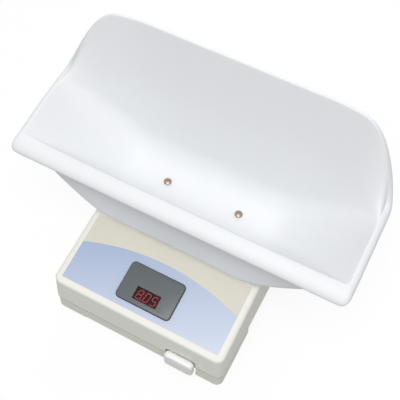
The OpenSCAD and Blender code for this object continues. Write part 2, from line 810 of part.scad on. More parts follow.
wall_draft = -front_bulge;                          // the front wall leans forward, under its lip
boss_z = front_h + tray_floor_h - tray_t - boss_h
    + (cell_y - tray_front_y - wall_draft - front_fillet_r) * tan(tray_floor_slope);
post_top = boss_z - pad_t;

module tray_posts() {
    color([0.78, 0.79, 0.80]) at_origin() for (x = [-1, 1] * post_x) translate([x, cell_y, plate_top]) difference() {
        union() {
            cylinder(r = post_r, h = post_top - plate_top);
            translate([0, 0, play - platform_t]) cylinder(r = stub_r - play / 2, h = platform_t);
        }
        translate([0, 0, -2 * platform_t]) cylinder(r = tray_screw_r, h = far);
    }
}

module post_seals() {
    lip = 2;
    cuff_h = post_top - deck_z - weigh_travel - 2;  // ends clear of the pads at full load
    color([0.20, 0.20, 0.21]) at_origin() for (x = [-1, 1] * post_x) translate([x, cell_y, deck_z + 0.05]) difference() {
        union() {
            cylinder(r = post_hole_r + lip, h = 1.5);
            translate([0, 0, 1.4]) cylinder(r1 = post_hole_r, r2 = post_r + 2, h = cuff_h);
        }
        translate([0, 0, -1]) cylinder(r = post_r + soft_gap, h = 10);
    }
}

module post_pads() {
    color([0.16, 0.16, 0.17]) at_origin() for (x = [-1, 1] * post_x) translate([x, cell_y, post_top]) difference() {
        cylinder(r = post_r + 3, h = pad_t);
        translate([0, 0, -1]) cylinder(r = tray_screw_r + 0.4, h = pad_t + 2);
    }
}

// ---- tray -----------------------------------------------------------------------------------

half_l = tray_l / 2;
flat_half = half_l - corner_len;
end_power = 1.25;                                   // how the floor sweeps up to the ends
bulge_fade = 0.3;                                   // keeps the front wall's bulge almost to the ends
corner_steps = 13;
fillet_steps = 4;
knee_steps = 6;
roll_steps = 5;
corner_fill = 0.3;
front_depth = rim_front_h - tray_floor_h;
back_depth = front_depth + rim_back_rise;

// stations along the tray, close together towards the ends
station_x = [for (i = [0:corner_steps]) half_l - corner_len * (1 - cos(90 * i / corner_steps))];
middle_x = [for (part = [0.94, 0.88, 0.6]) part * flat_half];   // where the floor's ramps run into the level middle
stations = concat([for (x = station_x) -x], [for (x = middle_x) -x],
    [for (i = [len(middle_x) - 1:-1:0]) middle_x[i]], [for (i = [corner_steps:-1:0]) station_x[i]]);
nx = len(stations);

// the middle section from the front crest down, across the floor and up the back wall:
// [y behind the front crest, height above the floor's front]
knee_start = let (k = tan(back_wall_slope), f = tan(tray_floor_slope),
    dy = knee_r * (sin(back_wall_slope) - sin(tray_floor_slope)),
    dz = knee_r * (cos(tray_floor_slope) - cos(back_wall_slope)),
    floor_y = wall_draft + front_fillet_r)
    (k * (tray_d - dy) - back_depth + dz - f * floor_y) / (k - f);
floor_rise = (knee_start - wall_draft - front_fillet_r) * tan(tray_floor_slope);
section = concat(
    [[0, front_depth], [wall_draft * 0.6, front_depth * 0.55]],
    [for (i = [0:fillet_steps]) let (a = 90 * i / fillet_steps)
        [wall_draft + front_fillet_r * (1 - cos(a)), front_fillet_r * (1 - sin(a))]],
    [for (i = [0:knee_steps]) let (a = tray_floor_slope + (back_wall_slope - tray_floor_slope) * i / knee_steps)
        [knee_start + knee_r * (sin(a) - sin(tray_floor_slope)),
         floor_rise + knee_r * (cos(tray_floor_slope) - cos(a))]],
    [[(knee_start + knee_r * 0.9 + tray_d) / 2, undef], [tray_d, back_depth]]);
wall_foot = section[len(section) - 3];
wall_mid_y = (wall_foot[0] + tray_d) / 2;
wall_mid_z = (wall_foot[1] + back_depth) / 2;
profile = [for (i = [0:len(section) - 1]) i == len(section) - 2 ? [wall_mid_y, wall_mid_z] : section[i]];
nt = len(profile);
last_front = 1 + 1 + fillet_steps;                  // profile points that belong to the front wall

function corner_a(x) = acos(min(1, max(0, (abs(x) - flat_half) / corner_len)));
function sweep(x) = max(0, (abs(x) - flat_half) / corner_len);
function floor_at(x) = tray_floor_h + front_depth * pow(max(0, (abs(x) - half_l + end_ramp) / end_ramp), end_power);
function front_crest_y(x) = let (d = max(0, abs(x) - half_l + front_corner_r))
    front_corner_r - sqrt(max(0, front_corner_r * front_corner_r - d * d));
function back_crest_y(x) = tray_d - corner_dep * (1 - sin(corner_a(x)));
function smooth(s) = 3 * s * s - 2 * s * s * s;
function back_crest_z(x) = rim_front_h + rim_end_rise
    + (rim_back_rise - rim_end_rise) * smooth(min(1, 1.4 * corner_a(x) / 90));

// point j of the section at station x, moved out through the wall by grow
function tray_point(x, j, grow) = let (
    p = profile[j],
    y0 = front_crest_y(x),
    y1 = back_crest_y(x),
    low = floor_at(x),
    front = j <= last_front,
    bulge = front ? pow(max(0, (rim_front_h - low) / front_depth), bulge_fade) : 1,
    s = (bulge * p[0] + (1 - bulge) * 0.9 * front_fillet_r * j / last_front) / tray_d,
    w = front ? p[1] / front_depth : p[1] / back_depth,
    top = front ? rim_front_h : back_crest_z(x),
    rim = (rim_end_rise * (s + 0.9 * s * (1 - s)) - (front ? 0 : w * rim_end_rise)) * pow(sweep(x), 4),
    swell = grow * (2 * s - 1))
    [x * (1 + 0.8 * grow / half_l), tray_front_y + y0 + s * (y1 - y0) + swell,
     front_h + low + w * (top - low) + rim - grow];

// the rim, once round: [station number, section point number]
rim_loop = concat([for (i = [0:nx - 1]) [i, 0]], [for (j = [1:nt - 1]) [nx - 1, j]],
    [for (i = [nx - 2:-1:0]) [i, nt - 1]], [for (j = [nt - 2:-1:1]) [0, j]]);
nb = len(rim_loop);

function unit(v) = v / norm(v);
// direction in plan in which the rim rolls over
function rim_out(i, j) = let (x = stations[i], side = sign(x))
    i == 0 || i == nx - 1 ? [side, 0]
    : j == 0 ? let (d = max(0, abs(x) - half_l + front_corner_r) / front_corner_r) [side * d, -sqrt(1 - d * d)]
    : let (a = corner_a(x)) unit([side * cos(a) / corner_len, sin(a) / corner_dep]);

// ring k of the roll: over the top with under = 0, along its underside with under = tray_t
function roll_point(b, k, under) = let (
    i = rim_loop[b][0],
    j = rim_loop[b][1],
    n = rim_out(i, j),
    f = pow(max(0, -n[1]), 2),
    r = pow(max(0, n[1]), 2),
    reach = f * lip_front + r * lip_back + (1 - f - r) * lip_end - 2 * under,
    drop = f * lip_front_drop + r * lip_back + (1 - f - r) * lip_end - under,
    // the front corners are filled out towards their square
    out = n[1] < 0 ? [sign(n[0]) * (lip_end - 2 * under) * pow(abs(n[0]), corner_fill),
        -(lip_front - 2 * under) * pow(-n[1], corner_fill)] : n * reach,
    a = 90 * k / roll_steps)
    tray_point(stations[i], j, under) + [out[0] * sin(a), out[1] * sin(a), -drop * (1 - cos(a))];

module tray_shell() {
    grid = nx * nt;
    ring = nb * roll_steps;
    points = concat(
        [for (x = stations, j = [0:nt - 1]) tray_point(x, j, 0)],
        [for (x = stations, j = [0:nt - 1]) tray_point(x, j, tray_t)],
        [for (k = [1:roll_steps], b = [0:nb - 1]) roll_point(b, k, 0)],
        [for (k = [1:roll_steps], b = [0:nb - 1]) roll_point(b, k, tray_t)]);
    function top_ring(b, k) = k == 0 ? rim_loop[b][0] * nt + rim_loop[b][1] : 2 * grid + (k - 1) * nb + b;
    function low_ring(b, k) = k == 0 ? grid + rim_loop[b][0] * nt + rim_loop[b][1]
        : 2 * grid + ring + (k - 1) * nb + b;
    faces = concat(
        [for (i = [0:nx - 2], j = [0:nt - 2]) let (a = i * nt + j)
            each [[a, a + 1, a + nt], [a + 1, a + nt + 1, a + nt]]],
        [for (i = [0:nx - 2], j = [0:nt - 2]) let (a = grid + i * nt + j)
            each [[a, a + nt, a + 1], [a + 1, a + nt, a + nt + 1]]],
        [for (k = [0:roll_steps - 1], b = [0:nb - 1]) let (c = (b + 1) % nb)
            each [[top_ring(b, k), top_ring(c, k), top_ring(b, k + 1)],
                  [top_ring(c, k), top_ring(c, k + 1), top_ring(b, k + 1)]]],
        [for (k = [0:roll_steps - 1], b = [0:nb - 1]) let (c = (b + 1) % nb)
            each [[low_ring(b, k), low_ring(b, k + 1), low_ring(c, k)],
                  [low_ring(c, k), low_ring(b, k + 1), low_ring(c, k + 1)]]],
        [for (b = [0:nb - 1]) let (c = (b + 1) % nb)
            each [[top_ring(b, roll_steps), top_ring(c, roll_steps), low_ring(b, roll_steps)],
                  [top_ring(c, roll_steps), low_ring(c, roll_steps), low_ring(b, roll_steps)]]]);
    polyhedron(points, faces, convexity = 10);
}

boss_r = post_r + 4;
seat_r = 2.5 * tray_screw_r + 1.5;
// level seat for the screw, just proud of the sloping floor
screw_seat_z = front_h + tray_floor_h + lookup(cell_y + seat_r - tray_front_y, profile) + soft_gap;

module tray() {
    color([0.94, 0.95, 0.96]) at_origin() difference() {
        union() {
            tray_shell();
            for (x = [-1, 1] * post_x) translate([x, cell_y, boss_z]) {
                cylinder(r = boss_r, h = boss_h + tray_t / 2);
                cylinder(r = seat_r, h = screw_seat_z - boss_z);
            }
        }
        for (x = [-1, 1] * post_x) translate([x, cell_y, boss_z - 10]) cylinder(r = tray_screw_r + 0.4, h = 60);
    }
}

washer_t = 1;

module tray_washers() {
    color([0.80, 0.78, 0.74]) at_origin() for (x = [-1, 1] * post_x)
        translate([x, cell_y, screw_seat_z]) difference() {
            cylinder(r = 2.05 * tray_screw_r, h = washer_t);
            translate([0, 0, -1]) cylinder(r = tray_screw_r + 0.2, h = 4);
        }
}

module tray_screws() {
    head_r = 2.1 * tray_screw_r;
    head_h = 0.41 * head_r;
    dome_r = 1.43 * head_r;
    reach = 8 * tray_screw_r;
    seat = screw_seat_z + washer_t;
    color([0.72, 0.66, 0.60]) at_origin() for (x = [-1, 1] * post_x) translate([x, cell_y, seat]) difference() {
        union() {
            translate([0, 0, -reach]) cylinder(r = tray_screw_r - play / 2, h = reach + 0.2);
            intersection() {
                cylinder(r = head_r, h = head_h);
                translate([0, 0, head_h - dome_r]) sphere(dome_r);
            }
        }
        for (turn = [0, 90]) rotate(turn + 30) translate([0, 0, head_h]) cube([1.3 * head_r, 0.17 * head_r, 0.85 * head_h], center = true);
    }
}

// ---- battery bay ----------------------------------------------------------------------------

contact_gap = 0.2;
contact_t = 0.6;
contact_face = bay_l / 2 - contact_t - 0.05;        // inner faces of the contact plates
battery_r = cell_d / 2 - 0.1;
battery_z = bay_top - soft_gap - battery_r;
pair_end = contact_face - contact_gap;              // right end of a pair of batteries
pair_gap = 0.2;

module battery_door() {
    door_gap = 0.1;
    color([0.78, 0.78, 0.71]) at_origin() translate([0, bay_y, 0]) {
        translate([-door_l / 2, -door_w / 2, belly_z - door_gap - door_t]) cube([door_l, door_w, door_t]);
        for (side = [-1, 1], y = hook_y) translate([side * hook_x, y, belly_z - door_gap - eps]) {
            translate([-hook_w / 2, -hook_l / 2, 0]) cube([hook_w, hook_l, wall_t + 0.4]);
            translate([-hook_w, -hook_l / 2, wall_t + 0.3]) cube([2 * hook_w, hook_l, 1.4]);
        }
        // grip ribs outside, and ribs inside that keep the batteries up
        for (i = [-2:2]) translate([-door_l / 4, i * 3 - 0.6, belly_z - door_gap - door_t - 0.5])
            cube([door_l / 2, 1.2, 0.6]);
        for (x = [-0.6, -0.25, 0.25, 0.6] * cell_len)
            translate([x - 1, door_travel + 1 - bay_w / 2, belly_z - door_gap - eps])
                cube([2, bay_w - door_travel - 2, battery_z - battery_r - soft_gap - belly_z + door_gap + eps]);
    }
}

module at_battery_rows() for (r = [0:cell_rows - 1]) translate([0, bay_y + (r - (cell_rows - 1) / 2) * cell_d, battery_z]) children();

module batteries() {
    nub = 1.2;
    color([0.30, 0.42, 0.62]) at_origin() at_battery_rows() for (n = [1, 2])
        translate([pair_end - n * cell_len - (n - 1) * pair_gap, 0, 0]) rotate([0, 90, 0]) {
            cylinder(r = battery_r, h = cell_len - nub);
            cylinder(r = 2.6, h = cell_len);
        }
}

module contact_plates() {
    color([0.82, 0.80, 0.70]) at_origin() for (side = [-1, 1])
        translate([side * (contact_face + contact_t / 2), bay_y, battery_z])
            cube([contact_t, bay_w - 1, cell_d - 3], center = true);
}

module contact_springs() {
    wire = 0.4;
    start = contact_gap + wire - contact_face;
    end = pair_end - 2 * cell_len - pair_gap - contact_gap - wire;
    color([0.80, 0.80, 0.78]) at_origin() at_battery_rows()
        translate([start, 0, 0]) rotate([0, 0, -90]) coil(3.4, wire, end - start, 3);
}

// ---- power inlet, feet and fasteners --------------------------------------------------------

module power_inlet() {
    body = [12, 14, 11];
    rear = rear_y(inlet_z) - lower_inset;
    color([0.12, 0.12, 0.13]) at_origin() translate([inlet_x, rear, inlet_z]) {
        difference() {
            union() {
                translate([0, -wall_t - body[1] / 2 - 0.2, 0]) cube(body, center = true);
                translate([0, -wall_t - 1, 0]) rotate([-90, 0, 0]) cylinder(r = inlet_r - play, h = wall_t + 2.5);
            }
            translate([0, -9, 0]) rotate([-90, 0, 0]) cylinder(r = 2.9, h = 20);
        }
        translate([0, -9.5, 0]) rotate([-90, 0, 0]) cylinder(r = 1.05, h = 10);
    }
}

module inlet_nut() {
    nut_r = inlet_r + 1.8;
    color([0.55, 0.56, 0.58]) at_origin() translate([inlet_x, rear_y(inlet_z - nut_r) - lower_inset + 0.05, inlet_z])
        rotate([-90, 0, 0]) difference() {
            cylinder(r = nut_r, h = 1.4, $fn = 6);
            translate([0, 0, -1]) cylinder(r = inlet_r, h = 4);
        }
}

module rubber_feet() {
    color([0.25, 0.25, 0.25]) at_origin() at_feet() cylinder(r = foot_r, h = foot_out + foot_socket - 0.05);
}

module housing_screws() {
    reach = 12;
    color([0.70, 0.70, 0.72]) at_origin() at_housing_screws() {
        translate([0, 0, floor_top - screw_head_h]) {
            cylinder(r = screw_r, h = boss_foot_z - floor_top + screw_head_h + reach);
            cylinder(r = screw_head_r, h = screw_head_h);
        }
    }
}

// a round lead swept along its route, as one unbroken tube
module lead(route, r) {
    sides = 8;
    n = len(route);
    function along(i) = unit(route[min(n - 1, i + 1)] - route[max(0, i - 1)]);
    points = [for (i = [0:n - 1]) let (t = along(i), s = unit(cross(t, [0.13, 0.21, 0.97])), u = cross(s, t))
        for (k = [0:sides - 1]) let (a = 360 * k / sides) route[i] + r * (cos(a) * s + sin(a) * u)];
    faces = concat([for (i = [0:n - 2], k = [0:sides - 1]) let (a = i * sides + k, b = i * sides + (k + 1) % sides)
        each [[a, b, b + sides], [a, b + sides, a + sides]]],
        [[for (k = [sides - 1:-1:0]) k]], [[for (k = [0:sides - 1]) (n - 1) * sides + k]]);
    polyhedron(points, faces, convexity = 10);
}

// a smooth run through hand-picked points
function curve(p, steps) = [for (i = [0:len(p) - 2], s = [0:steps - 1]) spline(p, i, s / steps), p[len(p) - 1]];
function spline(p, i, t) = let (a = p[max(0, i - 1)], b = p[i], c = p[i + 1], d = p[min(len(p) - 1, i + 2)])
    0.5 * (2 * b + (c - a) * t + (2 * a - 5 * b + 4 * c - d) * t * t + (3 * b - a - 3 * c + d) * t * t * t);

lead_r = 1.4;
// a point of the panel's own frame, in the housing's
function panel_point(p) = [p[0], p[1] * cos(panel_slope) - p[2] * sin(panel_slope),
    front_h + p[1] * sin(panel_slope) + p[2] * cos(panel_slope)];
// a point above one of the plugs on the main board
function over_plug(plug, up) = [main_board_mid[0] + plug[0], main_board_mid[1] + plug[1], board_top + plug_h + up];
display_lead_end = [-22, window_mid_y + board_d / 2 - 6, -board_drop - board_t];
cell_lead_route = [[0.05 - cell_l / 2 - 0.1, cell_y - 8, cell_z + cell_h / 2], [-74, 206, 54], [-85, 198, 40],
    [-90, 180, 22], [-90, 150, 18], [-88, 120, 20], [-84, 104, 28], over_plug(cell_plug, 8), over_plug(cell_plug, 0.05)];
display_lead_route = [over_plug(display_plug, 0.05), over_plug(display_plug, 8), [-36, 93, 50], [-33, 90, 68],
    [-25, 76, 80], panel_point(display_lead_end - [0, 0, 8]), panel_point(display_lead_end - [0, 0, 0.05])];

module cell_lead() {
    color([0.20, 0.20, 0.22]) at_origin() lead(curve(cell_lead_route, 6), lead_r);
}

module display_lead() {
    color([0.75, 0.75, 0.72]) at_origin() lead(curve(display_lead_route, 6), lead_r);
}

upper_housing();
lower_housing();
panel_overlay();
blue_label();
display_frame();
display_plate();
window_lens();
led_block();
led_digits();
display_board();
display_screws();
power_button();
button_spring();
power_switch();
switch_bracket();
main_board();
board_chips();
board_standoffs();
board_screws();
load_cell();
cell_foot_screws();
cell_lift_block();
cell_lift_screws();
platform_plate();
tray_posts();
post_seals();
post_pads();
tray();
tray_washers();
tray_screws();
overload_stops();
battery_door();
batteries();
contact_springs();
contact_plates();
power_inlet();
inlet_nut();
rubber_feet();
housing_screws();
cell_lead();
display_lead();
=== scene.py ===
from math import acos, cos, pi, radians, sin, sqrt, tan

import bmesh
import bpy
from bpy.props import FloatProperty, FloatVectorProperty, PointerProperty
from mathutils import Euler, Matrix, Vector


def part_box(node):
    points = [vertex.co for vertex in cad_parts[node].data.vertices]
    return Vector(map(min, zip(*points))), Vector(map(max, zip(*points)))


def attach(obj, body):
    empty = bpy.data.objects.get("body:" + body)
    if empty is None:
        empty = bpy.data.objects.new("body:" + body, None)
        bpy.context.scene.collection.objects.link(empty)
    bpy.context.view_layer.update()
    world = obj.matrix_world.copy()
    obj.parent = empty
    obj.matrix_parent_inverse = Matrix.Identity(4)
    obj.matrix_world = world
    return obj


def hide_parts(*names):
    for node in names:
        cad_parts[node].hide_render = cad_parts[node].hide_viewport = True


bl_info = {
    "name": "Baby scale dressing",
    "version": (1, 0, 0),
    "blender": (4, 5, 0),
    "location": "View3D > Sidebar > Scale",
    "description": "Builds the moulded tray, housings, display and fittings of a baby weighing scale",
    "category": "Add Mesh",
}

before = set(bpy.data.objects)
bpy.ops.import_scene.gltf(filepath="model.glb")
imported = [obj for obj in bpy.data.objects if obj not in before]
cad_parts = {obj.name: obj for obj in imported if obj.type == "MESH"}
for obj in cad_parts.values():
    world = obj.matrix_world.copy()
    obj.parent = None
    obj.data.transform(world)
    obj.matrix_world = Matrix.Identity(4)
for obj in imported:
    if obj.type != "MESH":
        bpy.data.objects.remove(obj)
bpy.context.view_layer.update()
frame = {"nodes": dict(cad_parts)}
NODES = frame["nodes"]
MM = 0.001


def node_box(name):
    """Lowest and highest corner of a CAD node, in metres."""
    low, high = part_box(name)
    return Vector(low), Vector(high)


BUTTON_LOW, BUTTON_HIGH = node_box("power_button")
DECK_Z = node_box("upper_housing")[1].z
FRONT_EDGE_Y = -0.152           # the housing's front top edge, in the part's frame
FLOOR_Z = 0.0
PARTING_Z = 0.038               # the line where the two housings meet
# painted shade: a dark band along the joint stands in for the shade in the gap between the housings
PAINTED_SHADE_HALF = 0.0021           # half the height of the painted shade band along it


# ---- sizes and colours a user may change ------------------------------------------------------

def length(name, description, default):
    return FloatProperty(name=name, description=description, default=default, min=0.0, unit="LENGTH")


def angle(name, description, degrees):
    return FloatProperty(name=name, description=description, default=radians(degrees), unit="ROTATION")


def colour(name, description, rgb):
    return FloatVectorProperty(name=name, description=description, default=rgb, size=3, min=0.0, max=1.0,
                               subtype="COLOR")


def share(name, description, default):
    return FloatProperty(name=name, description=description, default=default, min=0.0)


class TraySizes(bpy.types.PropertyGroup):
    length: length("Length", "Between the crests of the end rims", 0.5174)
    front_y: length("Front", "From the housing's front edge to the front crest", 0.1334)
    depth: length("Depth", "Between the front and back crests", 0.177)
    rim_front: length("Front rim", "Height of the front rim above the housing's front edge", 0.1396)
    rim_end_rise: length("End rise", "Extra height of the end rims at the back corners", 0.0124)
    rim_back_rise: length("Back rise", "Extra height of the back rim", 0.122)
    floor: length("Floor", "Height of the floor above the housing's front edge", 0.025)
    floor_slope: angle("Floor slope", "Slope of the floor towards the back", 6.0)
    wall: length("Wall", "Wall thickness", 0.003)
    corner_length: length("Corner length", "Back corners, along the tray", 0.1248)
    corner_depth: length("Corner depth", "Back corners, across the tray", 0.0516)
    front_corner: length("Front corner", "Plan radius of the front corners", 0.007)
    lip_front: length("Front lip", "Reach of the rolled front lip", 0.027)
    lip_front_drop: length("Front lip drop", "Drop of the rolled front lip", 0.016)
    lip_end: length("End lip", "Reach and drop of the rolled end rims", 0.011)
    lip_back: length("Back lip", "Reach and drop of the rolled back rim", 0.0076)
    front_fillet: length("Front fillet", "Where the front wall meets the floor", 0.016)
    knee: length("Knee", "Where the floor meets the back wall", 0.055)
    back_slope: angle("Back slope", "Slope of the back wall", 77.0)
    bulge: length("Bulge", "How far the front wall's foot stands forward of its crest", 0.0135)
    bulge_fade: share("Bulge fade", "Small numbers keep the bulge almost to the ends", 0.3)
    end_ramp: length("End ramp", "Sloping part of the floor at each end", 0.1387)
    end_power: share("Ramp shape", "1 is a straight ramp", 1.25)
    corner_fill: share("Corner fill", "0 is a square front corner, 1 a round one", 0.3)


class HousingSizes(bpy.types.PropertyGroup):
    width: length("Width", "Across the top edges", 0.290)
    front: length("Front height", "Height of the front top edge", 0.097)
    slope: angle("Panel slope", "Slope of the display panel", 8.9)
    panel: length("Panel depth", "Depth of the sloping part", 0.125)


class ButtonSizes(bpy.types.PropertyGroup):
    width: length("Width", "Across the button", 0.050)
    height: length("Height", "From its lower to its upper edge", 0.039)
    from_side: length("From side", "From the housing's right edge to the button's middle", 0.066)
    bottom: length("Bottom", "Height of the lower edge above the floor", 0.017)
    corner: length("Corner", "Radius of the button's corners and edges", 0.008)
    crown: length("Crown", "How far the face bulges", 0.003)
    flange_back: length("Flange", "From the housing's front edge to the flange", 0.0021)
    flange_thick: length("Flange thickness", "Thickness of the flange", 0.0025)
    flange_grow: length("Flange reach", "How far the flange reaches past each side", 0.003)
    stem_radius: length("Stem", "Radius of the stem", 0.0034)
    plunger_radius: length("Plunger", "Radius of the plunger", 0.0025)
    plunger: length("Plunger length", "Length of the plunger past the stem", 0.0058)


class DisplaySizes(bpy.types.PropertyGroup):
    width: length("Width", "Across the grey plate", 0.0905)
    depth: length("Depth", "From the front to the back of the plate", 0.059)
    front: length("Front", "From the housing's front edge to the plate", 0.0215)
    corner: length("Corner", "Corner radius of the plate", 0.006)
    thick: length("Thickness", "Thickness of the plate", 0.0016)
    frame: length("Frame", "Height of the black frame under the plate", 0.0026)
    rim: length("Rim", "Rim of the frame round the plate", 0.0012)
    window_width: length("Window width", "Across the window", 0.0404)
    window_depth: length("Window depth", "From the front to the back of the window", 0.0206)
    window_front: length("Window front", "From the plate's front edge to the window", 0.0067)
    lens_rim: length("Lens rim", "How far the lens reaches under the plate", 0.0016)


class ScrewSizes(bpy.types.PropertyGroup):
    shaft: length("Shaft", "Radius of the shaft", 0.00295)
    head: length("Head", "Radius of the domed head", 0.0063)
    dome: length("Dome", "Radius of the dome's curve", 0.009)
    slot: length("Slot", "Width of the cross slot", 0.0011)
    slot_depth: length("Slot depth", "Depth of the cross slot at the top of the head", 0.00095)


class FinishColours(bpy.types.PropertyGroup):
    tray: colour("Tray", "Cool white moulding", (0.82, 0.83, 0.845))
    housing: colour("Housing", "Pale ivory moulding", (0.84, 0.835, 0.77))
    lower: colour("Lower housing", "Slightly greener ivory", (0.78, 0.79, 0.70))
    # painted shade: the dark colour of the band along the joint between the housings
    painted_joint_shade: colour("Parting line", "Shadowed joint between the two housings", (0.09, 0.09, 0.07))
    overlay: colour("Overlay", "Cream field behind the label", (0.68, 0.655, 0.565))
    label: colour("Label", "Blue at the label's back left", (0.34, 0.43, 0.61))
    # painted light: the paler front right end of the label stands in for light falling there
    label_painted_lit_end: colour("Label, light end", "Paler blue towards the front right", (0.62, 0.67, 0.80))
    plate: colour("Display plate", "Grey plate round the window", (0.11, 0.125, 0.13))
    button: colour("Button", "White push button", (0.88, 0.87, 0.85))
    digits: colour("Digits", "Lit segments", (0.62, 0.22, 0.26))


class StudioSettings(bpy.types.PropertyGroup):
    camera_place: FloatVectorProperty(name="Camera", description="Place of the camera", size=3,
                                      default=(0.2515, -0.4595, 1.1022), subtype="XYZ", unit="LENGTH")
    camera_reach: length("Camera reach", "Farthest distance that the camera sees", 50.0)
    azimuth: angle("Azimuth", "Camera's turn about the upright axis", 26.029)
    elevation: angle("Elevation", "Camera's angle above the floor", 59.226)
    roll: angle("Roll", "Camera's turn about its own axis", 2.011)
    lens: share("Lens", "Focal length on a 36 mm sensor, in millimetres", 64.6)
    key: share("Key light", "Power of the large light above the front, in watts", 42.0)
    rear: share("Rear light", "Power of the low light behind the scale, in watts", 20.0)
    fill: share("Sky", "Level of the surrounding light", 0.49)
    floor_size: length("Floor", "Side of the square floor", 80.0)


# ---- small helpers ---------------------------------------------------------------------------

def deselect():
    if bpy.context.object and bpy.context.object.mode != "OBJECT":
        bpy.ops.object.mode_set(mode="OBJECT")
    bpy.ops.object.select_all(action="DESELECT")


def pick(obj):
    """Makes obj the only selected and active object."""
    deselect()
    obj.select_set(True)
    bpy.context.view_layer.objects.active = obj
    return obj


def named(name):
    obj = bpy.context.object
    obj.name = name
    obj.data.name = name
    return obj


def edit(obj):
    pick(obj)
    bpy.ops.object.mode_set(mode="EDIT")
    return bmesh.from_edit_mesh(obj.data)


def done_editing():
    bpy.ops.object.mode_set(mode="OBJECT")


def settle(obj):
    """Puts the object's place into its mesh."""
    pick(obj)
    bpy.ops.object.transform_apply(location=True, rotation=True, scale=True)
    return obj


def choose(bm, obj, edges=None, faces=None, verts=None):
    """Selects the edges, faces or vertices that pass a test, and nothing else."""
    for seq in (bm.verts, bm.edges, bm.faces):
        for item in seq:
            item.select = False
    if verts:
        bm.select_mode = {"VERT"}
        bpy.ops.mesh.select_mode(type="VERT")
        for v in bm.verts:
            v.select = verts(v)
    if edges:
        bpy.ops.mesh.select_mode(type="EDGE")
        for e in bm.edges:
            e.select = edges(e)
    if faces:
        bpy.ops.mesh.select_mode(type="FACE")
        for f in bm.faces:
            f.select = faces(f)
    bm.select_flush_mode()
    bmesh.update_edit_mesh(obj.data)


def apply_modifier(obj, kind, name, **settings):
    pick(obj)
    mod = obj.modifiers.new(name, kind)
    for key, value in settings.items():
        setattr(mod, key, value)
    bpy.ops.object.modifier_apply(modifier=mod.name)


def cut(obj, tool, operation="DIFFERENCE"):
    """Cuts tool out of obj, or joins it on, and removes the tool."""
    apply_modifier(obj, "BOOLEAN", "cut", operation=operation, object=tool, solver="EXACT")
    bpy.data.objects.remove(tool, do_unlink=True)


def clean(obj, least):
    """Merges points closer than least and removes what has no area."""
    edit(obj)
    bpy.ops.mesh.select_all(action="SELECT")
    bpy.ops.mesh.remove_doubles(threshold=least)
    bpy.ops.mesh.dissolve_degenerate(threshold=least)
    bpy.ops.mesh.delete_loose(use_verts=True, use_edges=True, use_faces=False)
    done_editing()


def smooth(obj, degrees):
    pick(obj)
    bpy.ops.object.shade_smooth_by_angle(angle=radians(degrees))


def join(*objs):
    deselect()
    for obj in objs:
        obj.select_set(True)
    bpy.context.view_layer.objects.active = objs[0]
    bpy.ops.object.join()
    return objs[0]


def block(name, low, high):
    """A box between two corners, for cutting or shaping."""
    deselect()
    low, high = Vector(low), Vector(high)
    bpy.ops.mesh.primitive_cube_add(size=1.0, location=(low + high) / 2)
    obj = named(name)
    obj.scale = high - low
    return settle(obj)


def rod(name, radius, start, end, sides=48):
    """A cylinder from start to end."""
    deselect()
    start, end = Vector(start), Vector(end)
    bpy.ops.mesh.primitive_cylinder_add(vertices=sides, radius=radius, depth=(end - start).length,
                                        location=(start + end) / 2)
    obj = named(name)
    obj.rotation_euler = Vector((0, 0, 1)).rotation_difference(end - start).to_euler()
    return settle(obj)


def housing_y(y):
    """From a distance behind the housing's front edge to the part's y."""
    return y + FRONT_EDGE_Y


# ---- tray ------------------------------------------------------------------------------------

